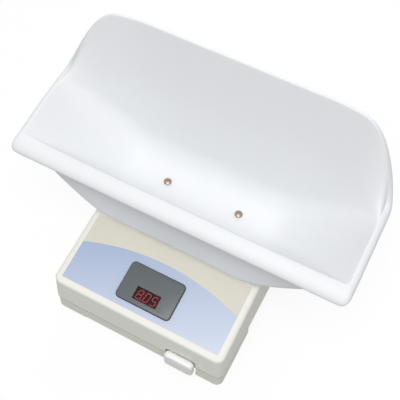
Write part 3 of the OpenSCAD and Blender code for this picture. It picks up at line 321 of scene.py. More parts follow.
class TrayForm:
    """The tray's upper surface and rim, as functions of the place along it."""

    def __init__(self, s, housing):
        self.s = s
        self.half = s.length / 2
        self.flat = self.half - s.corner_length
        self.front_depth = s.rim_front - s.floor
        self.back_depth = self.front_depth + s.rim_back_rise
        self.base_z = DECK_Z - tan(housing.slope) * housing.panel
        self.profile, self.front_count = self._profile()

    def _profile(self):
        s = self.s
        k, f = tan(s.back_slope), tan(s.floor_slope)
        dy = s.knee * (sin(s.back_slope) - sin(s.floor_slope))
        dz = s.knee * (cos(s.floor_slope) - cos(s.back_slope))
        floor_y = s.front_fillet - s.bulge
        start = (k * (s.depth - dy) - self.back_depth + dz - f * floor_y) / (k - f)
        rise = (start - floor_y) * f
        front = [(-s.bulge * t, self.front_depth + (s.front_fillet - self.front_depth) * t)
                 for t in (0.0, 0.06, 0.2, 0.4, 0.6, 0.8)]
        front += [(s.front_fillet * (1 - cos(pi / 2 * i / 8)) - s.bulge,
                   s.front_fillet * (1 - sin(pi / 2 * i / 8))) for i in range(9)]
        back = [(floor_y + (start - floor_y) * t, rise * t) for t in (0.2, 0.4, 0.6, 0.8)]
        angles = [s.floor_slope + (s.back_slope - s.floor_slope) * i / 10 for i in range(11)]
        back += [(start + s.knee * (sin(a) - sin(s.floor_slope)), rise + s.knee * (cos(s.floor_slope) - cos(a)))
                 for a in angles]
        foot = back[-1]
        back += [(foot[0] + (s.depth - foot[0]) * t, foot[1] + (self.back_depth - foot[1]) * t)
                 for t in (0.12, 0.25, 0.38, 0.5, 0.62, 0.74, 0.85, 0.93, 0.98, 1.0)]
        return front + back, len(front)

    def corner_angle(self, x):
        return acos(min(1.0, max(0.0, (abs(x) - self.flat) / self.s.corner_length)))

    def sweep(self, x):
        return max(0.0, (abs(x) - self.flat) / self.s.corner_length)

    def place(self, x, j):
        """Point j of the section at x, in the part's frame."""
        s = self.s
        py, pz = self.profile[j]
        ramp = max(0.0, (abs(x) - self.half + s.end_ramp) / s.end_ramp)
        low = s.floor + self.front_depth * ramp ** s.end_power
        is_front = j < self.front_count
        if is_front:                # the bulge fades as the wall runs out towards the ends
            wall_left = max(0.0, (s.rim_front - low) / self.front_depth) ** s.bulge_fade
            py = wall_left * py + (1 - wall_left) * s.front_fillet * 0.9 * j / (self.front_count - 1)
        part = py / s.depth
        over = max(0.0, abs(x) - self.half + s.front_corner)
        y0 = s.front_corner - sqrt(max(0.0, s.front_corner ** 2 - over ** 2))
        a = self.corner_angle(x)
        y1 = s.depth - s.corner_depth * (1 - sin(a))
        w = pz / (self.front_depth if is_front else self.back_depth)
        turn = min(1.0, 1.4 * a / (pi / 2))
        eased = 3 * turn ** 2 - 2 * turn ** 3
        back_top = s.rim_front + s.rim_end_rise + (s.rim_back_rise - s.rim_end_rise) * eased
        top = s.rim_front if is_front else back_top
        rim = s.rim_end_rise * (part + 0.9 * part * (1 - part))
        rim = (rim - (0.0 if is_front else w * s.rim_end_rise)) * self.sweep(x) ** 4
        y = s.front_y + y0 + part * (y1 - y0)
        return Vector((x, housing_y(y), self.base_z + low + w * (top - low) + rim))

    def outward(self, x, j, at_end):
        """Direction in plan in which the rim rolls over."""
        side = 1.0 if x > 0 else -1.0
        if at_end:
            return Vector((side, 0.0))
        if j == 0:
            d = max(0.0, abs(x) - self.half + self.s.front_corner) / self.s.front_corner
            return Vector((side * d, -sqrt(1 - d * d)))
        a = self.corner_angle(x)
        return Vector((side * cos(a) / self.s.corner_length, sin(a) / self.s.corner_depth)).normalized()

    def roll(self, x, j, at_end, turn):
        """A point of the rolled rim; turn goes from 0 at the crest to 1 at its edge."""
        s = self.s
        n = self.outward(x, j, at_end)
        f, r = max(0.0, -n.y) ** 2, max(0.0, n.y) ** 2
        reach = f * s.lip_front + r * s.lip_back + (1 - f - r) * s.lip_end
        drop = f * s.lip_front_drop + r * s.lip_back + (1 - f - r) * s.lip_end
        out = n * reach
        if n.y < 0:
            out = Vector(((1 if n.x > 0 else -1) * s.lip_end * abs(n.x) ** s.corner_fill,
                          -s.lip_front * (-n.y) ** s.corner_fill))
        a = pi / 2 * turn
        return self.place(x, j) + Vector((out.x * sin(a), out.y * sin(a), -drop * (1 - cos(a))))


class SCALE_OT_tray(bpy.types.Operator):
    """Models the moulded tray from a grid, bent to its sections, with a rolled rim"""
    bl_idname = "scale.tray"
    bl_label = "Tray"

    end_steps = 30
    middle_steps = 16
    roll_steps = 8

    def execute(self, context):
        form = TrayForm(context.scene.scale_tray, context.scene.scale_housing)
        s = form.s
        ends = [form.half - s.corner_length * (1 - cos(pi / 2 * i / self.end_steps))
                for i in range(self.end_steps + 1)]
        middle = [-form.flat + 2 * form.flat * i / self.middle_steps for i in range(1, self.middle_steps)]
        stations = [-x for x in ends] + middle + ends[::-1]
        rows = len(form.profile)
        deselect()
        bpy.ops.mesh.primitive_grid_add(x_subdivisions=len(stations) - 1, y_subdivisions=rows - 1, size=1.0)
        tray = named("moulded_tray")
        bm = edit(tray)
        place = bm.verts.layers.int.new("place")
        for v in bm.verts:
            i = round((v.co.x + 0.5) * (len(stations) - 1))
            j = round((v.co.y + 0.5) * (rows - 1))
            v[place] = i * rows + j
            v.co = form.place(stations[i], j)
        bmesh.update_edit_mesh(tray.data)
        # roll the rim over, one step of the turn at a time
        last = len(stations) - 1
        choose(bm, tray, edges=lambda e: e.is_boundary)
        for step in range(1, self.roll_steps + 1):
            bpy.ops.mesh.extrude_edges_move()
            bm = bmesh.from_edit_mesh(tray.data)
            place = bm.verts.layers.int["place"]
            for v in bm.verts:
                if v.select:
                    i, j = divmod(v[place], rows)
                    at_end = i in (0, last)
                    v.co = form.roll(stations[i], j, at_end, step / self.roll_steps)
            bmesh.update_edit_mesh(tray.data)
        bpy.ops.mesh.select_all(action="SELECT")
        bpy.ops.mesh.normals_make_consistent(inside=False)
        done_editing()
        if sum(p.normal.z * p.area for p in tray.data.polygons) < 0:
            edit(tray)
            bpy.ops.mesh.select_all(action="SELECT")
            bpy.ops.mesh.flip_normals()
            done_editing()
        apply_modifier(tray, "SOLIDIFY", "wall", thickness=s.wall, offset=-1.0, use_even_offset=False)
        apply_modifier(tray, "SUBSURF", "soften", levels=1, render_levels=1)
        smooth(tray, 60.0)
        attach(tray, "platform")
        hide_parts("tray")
        tray.data.materials.append(finish("tray_white"))
        return {"FINISHED"}


# ---- button, screws and display --------------------------------------------------------------

def round_uprights(obj, radius, steps=6, axis=2):
    """Bevels the four edges that run along an axis."""
    bm = edit(obj)
    choose(bm, obj, edges=lambda e: abs((e.verts[0].co - e.verts[1].co).normalized()[axis]) > 0.99)
    bpy.ops.mesh.bevel(offset=radius, segments=steps, affect="EDGES")
    done_editing()


def soften_rim(obj, radius, steps, test):
    """Bevels the sharp edges whose two ends pass a test."""
    bm = edit(obj)
    choose(bm, obj, edges=lambda e: all(test(v.co) for v in e.verts) and e.calc_face_angle(0.0) > 0.5)
    bpy.ops.mesh.bevel(offset=radius, segments=steps, affect="EDGES")
    done_editing()


class SCALE_OT_button(bpy.types.Operator):
    """Models the pillow-shaped push button with its flange, stem and plunger"""
    bl_idname = "scale.button"
    bl_label = "Push button"

    rings = 6

    def execute(self, context):
        s, housing = context.scene.scale_button, context.scene.scale_housing
        mid = housing.width / 2 - s.from_side
        low, high = s.bottom, s.bottom + s.height
        face = BUTTON_LOW.y
        back = housing_y(s.flange_back)
        flange_back = back + s.flange_thick
        cap = block("push_button", (mid - s.width / 2, face, low), (mid + s.width / 2, back, high))
        # the front face is set back, rounded at its corners, and rings in it then rise to the crown
        bm = edit(cap)
        choose(bm, cap, faces=lambda f: f.normal.y < -0.9)
        bpy.ops.transform.translate(value=(0.0, s.crown, 0.0))
        done_editing()
        round_uprights(cap, s.corner, 8, axis=1)
        bm = edit(cap)
        choose(bm, cap, faces=lambda f: f.normal.y < -0.9)
        for _ in range(self.rings):
            bpy.ops.mesh.inset(thickness=s.corner / self.rings, depth=0.0)
        bm = bmesh.from_edit_mesh(cap.data)
        centre = Vector((mid, (low + high) / 2))
        for v in bm.verts:
            if v.co.y < face + s.crown + 1e-5:
                outer = 1 - self.inward(v.co, centre, s)
                v.co.y = face + s.crown * (1 - sqrt(max(0.0, 1 - outer ** 2)))
        bmesh.update_edit_mesh(cap.data)
        done_editing()
        apply_modifier(cap, "SUBSURF", "soften", levels=1, render_levels=1)
        grow = s.flange_grow
        flange = block("flange", (mid - s.width / 2 - grow, back - 0.1 * MM, low + grow / 2),
                       (mid + s.width / 2 + grow, flange_back, high + grow / 2))
        round_uprights(flange, s.corner / 2, 5, axis=1)
        middle = (low + high) / 2
        stem_end = BUTTON_HIGH.y - s.plunger
        stem = rod("stem", s.stem_radius, (mid, flange_back - 0.3 * MM, middle), (mid, stem_end, middle))
        plunger = rod("plunger", s.plunger_radius, (mid, stem_end - 0.3 * MM, middle), (mid, BUTTON_HIGH.y, middle))
        cap = join(cap, flange, stem, plunger)
        smooth(cap, 40.0)
        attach(cap, "button")
        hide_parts("power_button")
        cap.data.materials.append(finish("button_white"))
        return {"FINISHED"}

    @staticmethod
    def inward(co, centre, s):
        """0 at the face's outline, 1 where the crown is full."""
        past_x = abs(co.x - centre.x) - s.width / 2 + s.corner
        past_z = abs(co.z - centre.y) - s.height / 2 + s.corner
        past = sqrt(max(0.0, past_x) ** 2 + max(0.0, past_z) ** 2) + min(0.0, max(past_x, past_z))
        return min(1.0, max(0.0, 1 - past / s.corner))


class SCALE_OT_tray_screws(bpy.types.Operator):
    """Models a domed screw with a cross slot, and its copy at the second post"""
    bl_idname = "scale.tray_screws"
    bl_label = "Tray screws"

    def execute(self, context):
        s = context.scene.scale_screws
        low, high = node_box("tray_screws")
        post_x = high.x - s.head
        seat = Vector((post_x, (low.y + high.y) / 2, high.z))
        bpy.ops.mesh.primitive_uv_sphere_add(segments=48, ring_count=32, radius=s.dome,
                                             location=seat - Vector((0.0, 0.0, s.dome)))
        screw = settle(named("cross_screws"))
        under = seat.z - s.dome + sqrt(s.dome ** 2 - s.head ** 2)
        edit(screw)
        bpy.ops.mesh.select_all(action="SELECT")
        bpy.ops.mesh.bisect(plane_co=(0.0, 0.0, under), plane_no=(0.0, 0.0, 1.0), clear_inner=True, use_fill=True)
        done_editing()
        for turn in (30.0, 120.0):
            bpy.ops.mesh.primitive_cube_add(size=1.0, location=seat)
            slot = named("slot")
            slot.scale = (s.head * 1.3, s.slot, s.slot_depth * 2)
            slot.rotation_euler = Euler((0.0, 0.0, radians(turn)))
            cut(screw, settle(slot))
        clean(screw, 0.04 * MM)
        shaft = rod("shaft", s.shaft, (seat.x, seat.y, low.z), (seat.x, seat.y, under + 0.2 * MM))
        soften_rim(shaft, 0.5 * MM, 2, lambda co: co.z < low.z + 0.1 * MM)
        screw = join(screw, shaft)
        deselect()
        second = screw.copy()
        second.data = screw.data.copy()
        bpy.context.collection.objects.link(second)
        second.location.x = -2 * post_x
        settle(second)
        screw = join(screw, second)
        smooth(screw, 35.0)
        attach(screw, "platform")
        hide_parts("tray_screws")
        screw.data.materials.append(finish("bright_screw"))
        return {"FINISHED"}


class SCALE_OT_display(bpy.types.Operator):
    """Models the grey plate and its black frame, both with soft edges, on the sloping panel"""
    bl_idname = "scale.display"
    bl_label = "Display plate"

    def execute(self, context):
        s, housing = context.scene.scale_display, context.scene.scale_housing
        window_low = (-s.window_width / 2, s.front + s.window_front)
        window_high = (s.window_width / 2, s.front + s.window_front + s.window_depth)
        pieces = (("plate_body", "display_plate", "plate_grey", 0.0, s.frame, s.frame + s.thick, 0.0),
                  ("frame_body", "display_frame", "frame_black", s.rim, 0.0, s.frame, s.lens_rim))
        for name, node, look, grow, low, high, wider in pieces:
            body = block(name, (-s.width / 2 - grow, s.front - grow, low),
                         (s.width / 2 + grow, s.front + s.depth + grow, high))
            round_uprights(body, s.corner + grow, 8)
            soften_rim(body, min(0.5 * MM, (high - low) / 3), 3, lambda co: co.z > high - 1e-5)
            hole = block("hole", (window_low[0] - wider, window_low[1] - wider, low - MM),
                         (window_high[0] + wider, window_high[1] + wider, high + MM))
            round_uprights(hole, 1.2 * MM, 4)
            cut(body, hole)
            self.onto_panel(body, housing)
            smooth(body, 40.0)
            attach(body, "base")
            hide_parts(node)
            body.data.materials.append(finish(look))
        return {"FINISHED"}

    @staticmethod
    def onto_panel(obj, housing):
        """From the panel's own plane to its place on the housing."""
        turn = Matrix.Rotation(housing.slope, 4, "X")
        obj.matrix_world = Matrix.Translation((0.0, FRONT_EDGE_Y, housing.front)) @ turn
        settle(obj)


# ---- materials -------------------------------------------------------------------------------

def group_socket(tree, name, kind, into, default=None):
    socket = tree.interface.new_socket(name=name, in_out="INPUT" if into else "OUTPUT", socket_type=kind)
    if default is not None:
        socket.default_value = default
    return socket


SURFACE_OUTPUTS = (("Colour", "NodeSocketColor"), ("Roughness", "NodeSocketFloat"), ("Normal", "NodeSocketVector"))


def moulding_group():
    """Moulded plastic: slight mottling of the colour and a fine even grain."""
    if "moulded surface" in bpy.data.node_groups:
        return bpy.data.node_groups["moulded surface"]
    tree = bpy.data.node_groups.new("moulded surface", "ShaderNodeTree")
    for name, kind, default in (("Colour", "NodeSocketColor", (0.8, 0.8, 0.8, 1.0)),
                                ("Mottle", "NodeSocketFloat", 0.03), ("Grain", "NodeSocketFloat", 900.0),
                                ("Depth", "NodeSocketFloat", 0.03),
                                ("Roughness", "NodeSocketFloat", 0.4)):
        group_socket(tree, name, kind, True, default)
    for name, kind in SURFACE_OUTPUTS:
        group_socket(tree, name, kind, False)
    nodes, link = tree.nodes, tree.links.new
    enter, leave = nodes.new("NodeGroupInput"), nodes.new("NodeGroupOutput")
    where = nodes.new("ShaderNodeTexCoord")
    broad = nodes.new("ShaderNodeTexNoise")
    broad.inputs["Scale"].default_value = 14.0
    broad.inputs["Detail"].default_value = 3.0
    link(where.outputs["Object"], broad.inputs["Vector"])
    spread = nodes.new("ShaderNodeMapRange")
    spread.inputs["To Min"].default_value = -1.0
    spread.inputs["To Max"].default_value = 1.0
    link(broad.outputs["Fac"], spread.inputs["Value"])
    amount = nodes.new("ShaderNodeMath")
    amount.operation = "MULTIPLY_ADD"
    amount.inputs[2].default_value = 1.0
    link(spread.outputs["Result"], amount.inputs[0])
    link(enter.outputs["Mottle"], amount.inputs[1])
    tint = nodes.new("ShaderNodeVectorMath")
    tint.operation = "SCALE"
    link(enter.outputs["Colour"], tint.inputs[0])
    link(amount.outputs["Value"], tint.inputs["Scale"])
    link(tint.outputs["Vector"], leave.inputs["Colour"])
    fine = nodes.new("ShaderNodeTexNoise")
    fine.inputs["Detail"].default_value = 2.0
    link(where.outputs["Object"], fine.inputs["Vector"])
    link(enter.outputs["Grain"], fine.inputs["Scale"])
    rough = nodes.new("ShaderNodeMath")
    rough.operation = "MULTIPLY_ADD"
    rough.inputs[1].default_value = 0.10
    link(fine.outputs["Fac"], rough.inputs[0])
    link(enter.outputs["Roughness"], rough.inputs[2])
    link(rough.outputs["Value"], leave.inputs["Roughness"])
    bump = nodes.new("ShaderNodeBump")
    bump.inputs["Distance"].default_value = 0.0002
    link(enter.outputs["Depth"], bump.inputs["Strength"])
    link(fine.outputs["Fac"], bump.inputs["Height"])
    link(bump.outputs["Normal"], leave.inputs["Normal"])
    return tree


def metal_group():
    """Turned or rolled metal: fine streaks in the colour and the roughness."""
    if "worked metal" in bpy.data.node_groups:
        return bpy.data.node_groups["worked metal"]
    tree = bpy.data.node_groups.new("worked metal", "ShaderNodeTree")
    for name, kind, default in (("Colour", "NodeSocketColor", (0.7, 0.7, 0.7, 1.0)),
                                ("Streaks", "NodeSocketFloat", 0.15), ("Roughness", "NodeSocketFloat", 0.3)):
        group_socket(tree, name, kind, True, default)
    for name, kind in SURFACE_OUTPUTS:
        group_socket(tree, name, kind, False)
    nodes, link = tree.nodes, tree.links.new
    enter, leave = nodes.new("NodeGroupInput"), nodes.new("NodeGroupOutput")
    where = nodes.new("ShaderNodeTexCoord")
    stretch = nodes.new("ShaderNodeMapping")
    stretch.inputs["Scale"].default_value = (120.0, 2200.0, 2200.0)
    link(where.outputs["Object"], stretch.inputs["Vector"])
    streak = nodes.new("ShaderNodeTexNoise")
    streak.inputs["Scale"].default_value = 1.0
    streak.inputs["Detail"].default_value = 4.0
    link(stretch.outputs["Vector"], streak.inputs["Vector"])
    spread = nodes.new("ShaderNodeMapRange")
    spread.inputs["To Min"].default_value = -1.0
    spread.inputs["To Max"].default_value = 1.0
    link(streak.outputs["Fac"], spread.inputs["Value"])
    amount = nodes.new("ShaderNodeMath")
    amount.operation = "MULTIPLY_ADD"
    amount.inputs[2].default_value = 1.0
    link(spread.outputs["Result"], amount.inputs[0])
    link(enter.outputs["Streaks"], amount.inputs[1])
    tint = nodes.new("ShaderNodeVectorMath")
    tint.operation = "SCALE"
    link(enter.outputs["Colour"], tint.inputs[0])
    link(amount.outputs["Value"], tint.inputs["Scale"])
    link(tint.outputs["Vector"], leave.inputs["Colour"])
    rough = nodes.new("ShaderNodeMath")
    rough.operation = "MULTIPLY_ADD"
    rough.inputs[1].default_value = 0.2
    link(streak.outputs["Fac"], rough.inputs[0])
    link(enter.outputs["Roughness"], rough.inputs[2])
    link(rough.outputs["Value"], leave.inputs["Roughness"])
    bump = nodes.new("ShaderNodeBump")
    bump.inputs["Strength"].default_value = 0.08
    bump.inputs["Distance"].default_value = 0.0001
    link(streak.outputs["Fac"], bump.inputs["Height"])
    link(bump.outputs["Normal"], leave.inputs["Normal"])
    return tree


def new_material(name, group, **values):
    """A Principled material fed by one of the surface groups."""
    mat = bpy.data.materials.new(name)
    mat.use_nodes = True
    nodes, link = mat.node_tree.nodes, mat.node_tree.links.new
    shader = nodes["Principled BSDF"]
    surface = nodes.new("ShaderNodeGroup")
    surface.node_tree = group
    for key, value in values.items():
        surface.inputs[key].default_value = (*value, 1.0) if key == "Colour" else value
    link(surface.outputs["Colour"], shader.inputs["Base Color"])
    link(surface.outputs["Roughness"], shader.inputs["Roughness"])
    link(surface.outputs["Normal"], shader.inputs["Normal"])
    return mat, shader, surface


def plastic(name, rgb, roughness=0.38, mottle=0.012, grain=1400.0, depth=0.12, coat=0.0):
    mat, shader, _ = new_material(name, moulding_group(), Colour=rgb, Roughness=roughness, Mottle=mottle,
                                  Grain=grain, Depth=depth)
    shader.inputs["Specular IOR Level"].default_value = 0.45
    shader.inputs["Coat Weight"].default_value = coat
    return mat


def housing_with_painted_joint_shade(name, rgb, joint_shade_rgb, **values):
    """Housing plastic with painted shade: a dark band along the joint between the two housings, standing in for the
    shade in the gap.
    """
    mat = plastic(name, rgb, **values)
    nodes, link = mat.node_tree.nodes, mat.node_tree.links.new
    surface = next(n for n in nodes if n.type == "GROUP")
    where, split = nodes.new("ShaderNodeTexCoord"), nodes.new("ShaderNodeSeparateXYZ")
    link(where.outputs["Object"], split.inputs["Vector"])
    off, away = nodes.new("ShaderNodeMath"), nodes.new("ShaderNodeMath")
    off.operation, away.operation = "SUBTRACT", "ABSOLUTE"
    off.inputs[1].default_value = PARTING_Z
    link(split.outputs["Z"], off.inputs[0])
    link(off.outputs["Value"], away.inputs[0])
    # painted shade: 1 inside the band round the joint, 0 outside it
    in_painted_shade = nodes.new("ShaderNodeMapRange")
    in_painted_shade.inputs["From Min"].default_value = PAINTED_SHADE_HALF
    in_painted_shade.inputs["From Max"].default_value = PAINTED_SHADE_HALF * 0.6
    link(away.outputs["Value"], in_painted_shade.inputs["Value"])
    mix = nodes.new("ShaderNodeMix")
    mix.data_type = "RGBA"
    mix.inputs["A"].default_value = (*rgb, 1.0)
    mix.inputs["B"].default_value = (*joint_shade_rgb, 1.0)
    link(in_painted_shade.outputs["Result"], mix.inputs["Factor"])
    link(mix.outputs["Result"], surface.inputs["Colour"])
    return mat


def metal(name, rgb, roughness=0.25, streaks=0.12):
    mat, shader, _ = new_material(name, metal_group(), Colour=rgb, Roughness=roughness, Streaks=streaks)
    shader.inputs["Metallic"].default_value = 1.0
    return mat


def label_with_painted_light(name, rgb, rgb_lit_end):
    """Label film whose blue is painted paler towards the front right, as painted light falling there."""
    mat, _, surface = new_material(name, moulding_group(), Roughness=0.42, Mottle=0.01, Grain=2200.0, Depth=0.04)
    nodes, link = mat.node_tree.nodes, mat.node_tree.links.new
    where, along = nodes.new("ShaderNodeTexCoord"), nodes.new("ShaderNodeVectorMath")
    along.operation = "DOT_PRODUCT"
    along.inputs[1].default_value = (0.46, -1.0, 0.0)      # across the label, from back left to front right
    link(where.outputs["Object"], along.inputs[0])
    # painted light: the blue grows paler towards the front right
    painted_light_fade = nodes.new("ShaderNodeMapRange")
    painted_light_fade.inputs["From Min"].default_value = -0.008
    painted_light_fade.inputs["From Max"].default_value = 0.200
    link(along.outputs["Value"], painted_light_fade.inputs["Value"])
    mix = nodes.new("ShaderNodeMix")
    mix.data_type = "RGBA"
    mix.inputs["A"].default_value = (*rgb, 1.0)
    mix.inputs["B"].default_value = (*rgb_lit_end, 1.0)
    link(painted_light_fade.outputs["Result"], mix.inputs["Factor"])
    link(mix.outputs["Result"], surface.inputs["Colour"])
    return mat


def glowing(name, rgb):
    """Lit segments: the colour itself, with a darker body under it."""
    body = tuple(c * 0.5 for c in rgb)
    mat, shader, _ = new_material(name, moulding_group(), Colour=body, Roughness=0.5, Mottle=0.05, Grain=900.0,
                                  Depth=0.02)
    shader.inputs["Emission Color"].default_value = (*rgb, 1.0)
    shader.inputs["Emission Strength"].default_value = 1.0
    return mat


def tinted_glass(name, rgb):
    """Clear tinted window with a faint haze."""
    mat = bpy.data.materials.new(name)
    mat.use_nodes = True
    nodes, link = mat.node_tree.nodes, mat.node_tree.links.new
    shader = nodes["Principled BSDF"]
    shader.inputs["Transmission Weight"].default_value = 1.0
    shader.inputs["IOR"].default_value = 1.35
    shader.inputs["Base Color"].default_value = (*rgb, 1.0)
    where = nodes.new("ShaderNodeTexCoord")
    haze = nodes.new("ShaderNodeTexNoise")
    haze.inputs["Scale"].default_value = 60.0
    spread = nodes.new("ShaderNodeMapRange")
    spread.inputs["To Min"].default_value = 0.05
    spread.inputs["To Max"].default_value = 0.10
    link(where.outputs["Object"], haze.inputs["Vector"])
    link(haze.outputs["Fac"], spread.inputs["Value"])
    link(spread.outputs["Result"], shader.inputs["Roughness"])
    return mat


def recipes():
    c = bpy.context.scene.scale_colours
    return {
        "tray_white": lambda: plastic("tray_white", c.tray, 0.52, 0.006, 1100.0, 0.06),
        # both housing materials carry the painted shade band along their joint
        "housing_ivory": lambda: housing_with_painted_joint_shade("housing_ivory", c.housing, c.painted_joint_shade, roughness=0.42, grain=1600.0,
                                        depth=0.16),
        "lower_ivory": lambda: housing_with_painted_joint_shade("lower_ivory", c.lower, c.painted_joint_shade, roughness=0.45, mottle=0.015, grain=1600.0,
                                      depth=0.16),
        "overlay_cream": lambda: plastic("overlay_cream", c.overlay, 0.40, 0.010, 2200.0, 0.05),
        "label_blue": lambda: label_with_painted_light("label_blue", c.label, c.label_painted_lit_end),
        "frame_black": lambda: plastic("frame_black", (0.012, 0.013, 0.014), 0.35, 0.05, 1600.0, 0.10),
        "plate_grey": lambda: plastic("plate_grey", c.plate, 0.30, 0.03, 2600.0, 0.05),
        "button_white": lambda: plastic("button_white", c.button, 0.36, 0.010, 1500.0, 0.10),
        "led_black": lambda: plastic("led_black", (0.010, 0.006, 0.006), 0.5, 0.05, 1500.0, 0.10),
        "lit_digits": lambda: glowing("lit_digits", c.digits),
        "red_lens": lambda: tinted_glass("red_lens", (0.50, 0.16, 0.16)),
        "rubber_dark": lambda: plastic("rubber_dark", (0.035, 0.035, 0.036), 0.75, 0.10, 900.0, 0.25),
        "rubber_grey": lambda: plastic("rubber_grey", (0.05, 0.05, 0.05), 0.8, 0.10, 900.0, 0.25),
        "board_green": lambda: plastic("board_green", (0.02, 0.12, 0.05), 0.35, 0.20, 700.0, 0.10),
        "chip_black": lambda: plastic("chip_black", (0.02, 0.02, 0.022), 0.45, 0.10, 2000.0, 0.15),
        "wrap_blue": lambda: plastic("wrap_blue", (0.07, 0.14, 0.33), 0.30, 0.08, 1200.0, 0.04),
        "lead_grey": lambda: plastic("lead_grey", (0.50, 0.50, 0.47), 0.5, 0.05, 1200.0, 0.10),
        "steel": lambda: metal("steel", (0.60, 0.60, 0.61), 0.28, 0.10),
        "bright_screw": lambda: metal("bright_screw", (0.42, 0.30, 0.22), 0.30, 0.25),
        "black_steel": lambda: metal("black_steel", (0.10, 0.10, 0.11), 0.35, 0.15),
        "brass": lambda: metal("brass", (0.62, 0.45, 0.18), 0.28, 0.12),
        "aluminium": lambda: metal("aluminium", (0.68, 0.69, 0.70), 0.32, 0.10),
    }


def finish(name):
    """The named material, made on first use."""
    return bpy.data.materials.get(name) or recipes()[name]()


NODE_FINISHES = {
    "upper_housing": "housing_ivory", "lower_housing": "lower_ivory", "panel_overlay": "overlay_cream",
    "blue_label": "label_blue", "display_frame": "frame_black", "display_plate": "plate_grey",
    "window_lens": "red_lens", "led_block": "led_black", "led_digits": "lit_digits",
    "display_board": "board_green", "display_screws": "steel", "power_button": "button_white",
    "button_spring": "steel", "power_switch": "chip_black", "switch_bracket": "steel",
    "main_board": "board_green", "board_chips": "chip_black", "board_standoffs": "brass",
    "board_screws": "steel", "load_cell": "aluminium", "cell_foot_screws": "black_steel",
    "cell_lift_block": "aluminium", "cell_lift_screws": "black_steel", "platform_plate": "steel",
    "tray_posts": "aluminium", "post_seals": "rubber_dark", "post_pads": "rubber_dark", "tray": "tray_white",
    "tray_washers": "steel", "tray_screws": "bright_screw", "overload_stops": "steel",
    "battery_door": "lower_ivory", "batteries": "wrap_blue", "contact_springs": "steel",
    "contact_plates": "steel", "power_inlet": "chip_black", "inlet_nut": "steel", "rubber_feet": "rubber_grey",
    "housing_screws": "steel", "cell_lead": "chip_black", "display_lead": "lead_grey",
}


class SCALE_OT_node_finishes(bpy.types.Operator):
    """Gives every CAD node its finish"""
    bl_idname = "scale.node_finishes"
    bl_label = "Node finishes"

    def execute(self, context):
        for name, node in NODES.items():
            node.data.materials.clear()
            node.data.materials.append(finish(NODE_FINISHES[name]))
        return {"FINISHED"}


# ---- stage -----------------------------------------------------------------------------------

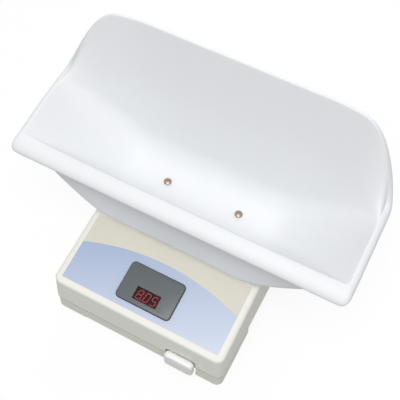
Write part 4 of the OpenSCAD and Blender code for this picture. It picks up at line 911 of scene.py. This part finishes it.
class SCALE_OT_stage(bpy.types.Operator):
    """Sets the camera, the plain white floor and the soft lights"""
    bl_idname = "scale.stage"
    bl_label = "Stage"

    def execute(self, context):
        studio = context.scene.scale_studio
        scene = context.scene
        a, e, roll = studio.azimuth, studio.elevation, studio.roll
        back = Vector((sin(a) * cos(e), -cos(a) * cos(e), sin(e)))
        right = Vector((cos(a), sin(a), 0.0))
        up = back.cross(right)
        right, up = right * cos(roll) + up * sin(roll), up * cos(roll) - right * sin(roll)
        deselect()
        bpy.ops.object.camera_add(location=studio.camera_place)
        camera = bpy.context.object
        camera.name = "camera"
        turned = Matrix((right, up, back)).transposed()
        camera.rotation_euler = turned.to_euler()
        camera.data.lens = studio.lens
        camera.data.sensor_width = 36.0
        camera.data.clip_end = studio.camera_reach
        scene.camera = camera

        bpy.ops.mesh.primitive_plane_add(size=studio.floor_size, location=(0.0, 0.0, FLOOR_Z))
        floor = named("floor")
        settle(floor)
        floor.data.materials.append(self.floor_material())

        target = Vector((0.0, 0.0, 0.15))
        lights = (("key_light", (0.32, -0.95, 2.56), 1.3, studio.key),
                  ("back_light", (-0.5, 2.3, 1.0), 1.6, studio.rear))
        for name, place, size, power in lights:
            bpy.ops.object.light_add(type="AREA", location=place)
            lamp = bpy.context.object
            lamp.name = name
            lamp.data.size = size
            lamp.data.energy = power
            lamp.rotation_euler = (Vector(place) - target).to_track_quat("Z", "Y").to_euler()

        world = bpy.data.worlds.new("studio")
        scene.world = world
        world.use_nodes = True
        nodes, link = world.node_tree.nodes, world.node_tree.links.new
        nodes.clear()
        out = nodes.new("ShaderNodeOutputWorld")
        sky, white = nodes.new("ShaderNodeBackground"), nodes.new("ShaderNodeBackground")
        sky.inputs["Color"].default_value = (0.97, 0.985, 1.0, 1.0)
        sky.inputs["Strength"].default_value = studio.fill
        white.inputs["Color"].default_value = (1.0, 1.0, 1.0, 1.0)
        white.inputs["Strength"].default_value = 1.0
        seen = self.seen_ray(nodes, link)
        mix = nodes.new("ShaderNodeMixShader")
        link(seen, mix.inputs["Fac"])
        link(sky.outputs["Background"], mix.inputs[1])
        link(white.outputs["Background"], mix.inputs[2])
        link(mix.outputs["Shader"], out.inputs["Surface"])
        scene.view_settings.view_transform = "Standard"
        return {"FINISHED"}

    def seen_ray(self, nodes, link):
        """1 for camera, glossy and transmission rays."""
        path = nodes.new("ShaderNodeLightPath")
        first, second = nodes.new("ShaderNodeMath"), nodes.new("ShaderNodeMath")
        first.operation = second.operation = "MAXIMUM"
        link(path.outputs["Is Camera Ray"], first.inputs[0])
        link(path.outputs["Is Glossy Ray"], first.inputs[1])
        link(first.outputs["Value"], second.inputs[0])
        link(path.outputs["Is Transmission Ray"], second.inputs[1])
        return second.outputs["Value"]

    def floor_material(self):
        mat = bpy.data.materials.new("floor_white")
        mat.use_nodes = True
        nodes, link = mat.node_tree.nodes, mat.node_tree.links.new
        nodes.clear()
        out = nodes.new("ShaderNodeOutputMaterial")
        grey, paper = nodes.new("ShaderNodeBsdfDiffuse"), nodes.new("ShaderNodeBsdfDiffuse")
        grey.inputs["Color"].default_value = (0.25, 0.25, 0.25, 1.0)
        paper.inputs["Color"].default_value = (0.95, 0.95, 0.95, 1.0)
        glow = nodes.new("ShaderNodeEmission")
        glow.inputs["Color"].default_value = (1.0, 1.0, 1.0, 1.0)
        white, mix = nodes.new("ShaderNodeMixShader"), nodes.new("ShaderNodeMixShader")
        white.inputs["Fac"].default_value = 0.88
        link(paper.outputs["BSDF"], white.inputs[1])
        link(glow.outputs["Emission"], white.inputs[2])
        link(self.seen_ray(nodes, link), mix.inputs["Fac"])
        link(grey.outputs["BSDF"], mix.inputs[1])
        link(white.outputs["Shader"], mix.inputs[2])
        link(mix.outputs["Shader"], out.inputs["Surface"])
        return mat


class SCALE_PT_panel(bpy.types.Panel):
    """Lists the steps that dress the scale"""
    bl_idname = "SCALE_PT_panel"
    bl_label = "Baby scale"
    bl_space_type = "VIEW_3D"
    bl_region_type = "UI"
    bl_category = "Scale"

    def draw(self, context):
        for step in STEPS:
            self.layout.operator(step.bl_idname)


STEPS = (SCALE_OT_stage, SCALE_OT_node_finishes, SCALE_OT_tray, SCALE_OT_button, SCALE_OT_tray_screws,
         SCALE_OT_display)
GROUPS = {"scale_tray": TraySizes, "scale_housing": HousingSizes, "scale_button": ButtonSizes,
          "scale_display": DisplaySizes, "scale_screws": ScrewSizes,
          "scale_colours": FinishColours, "scale_studio": StudioSettings}


def register():
    for cls in (*GROUPS.values(), *STEPS, SCALE_PT_panel):
        bpy.utils.register_class(cls)
    for name, cls in GROUPS.items():
        setattr(bpy.types.Scene, name, PointerProperty(type=cls))


def unregister():
    for name in GROUPS:
        delattr(bpy.types.Scene, name)
    for cls in reversed((*GROUPS.values(), *STEPS, SCALE_PT_panel)):
        bpy.utils.unregister_class(cls)


def main():
    register()
    deselect()
    for step in STEPS:
        group, name = step.bl_idname.split(".")
        getattr(getattr(bpy.ops, group), name)()
    deselect()


if __name__ == "__main__":
    main()
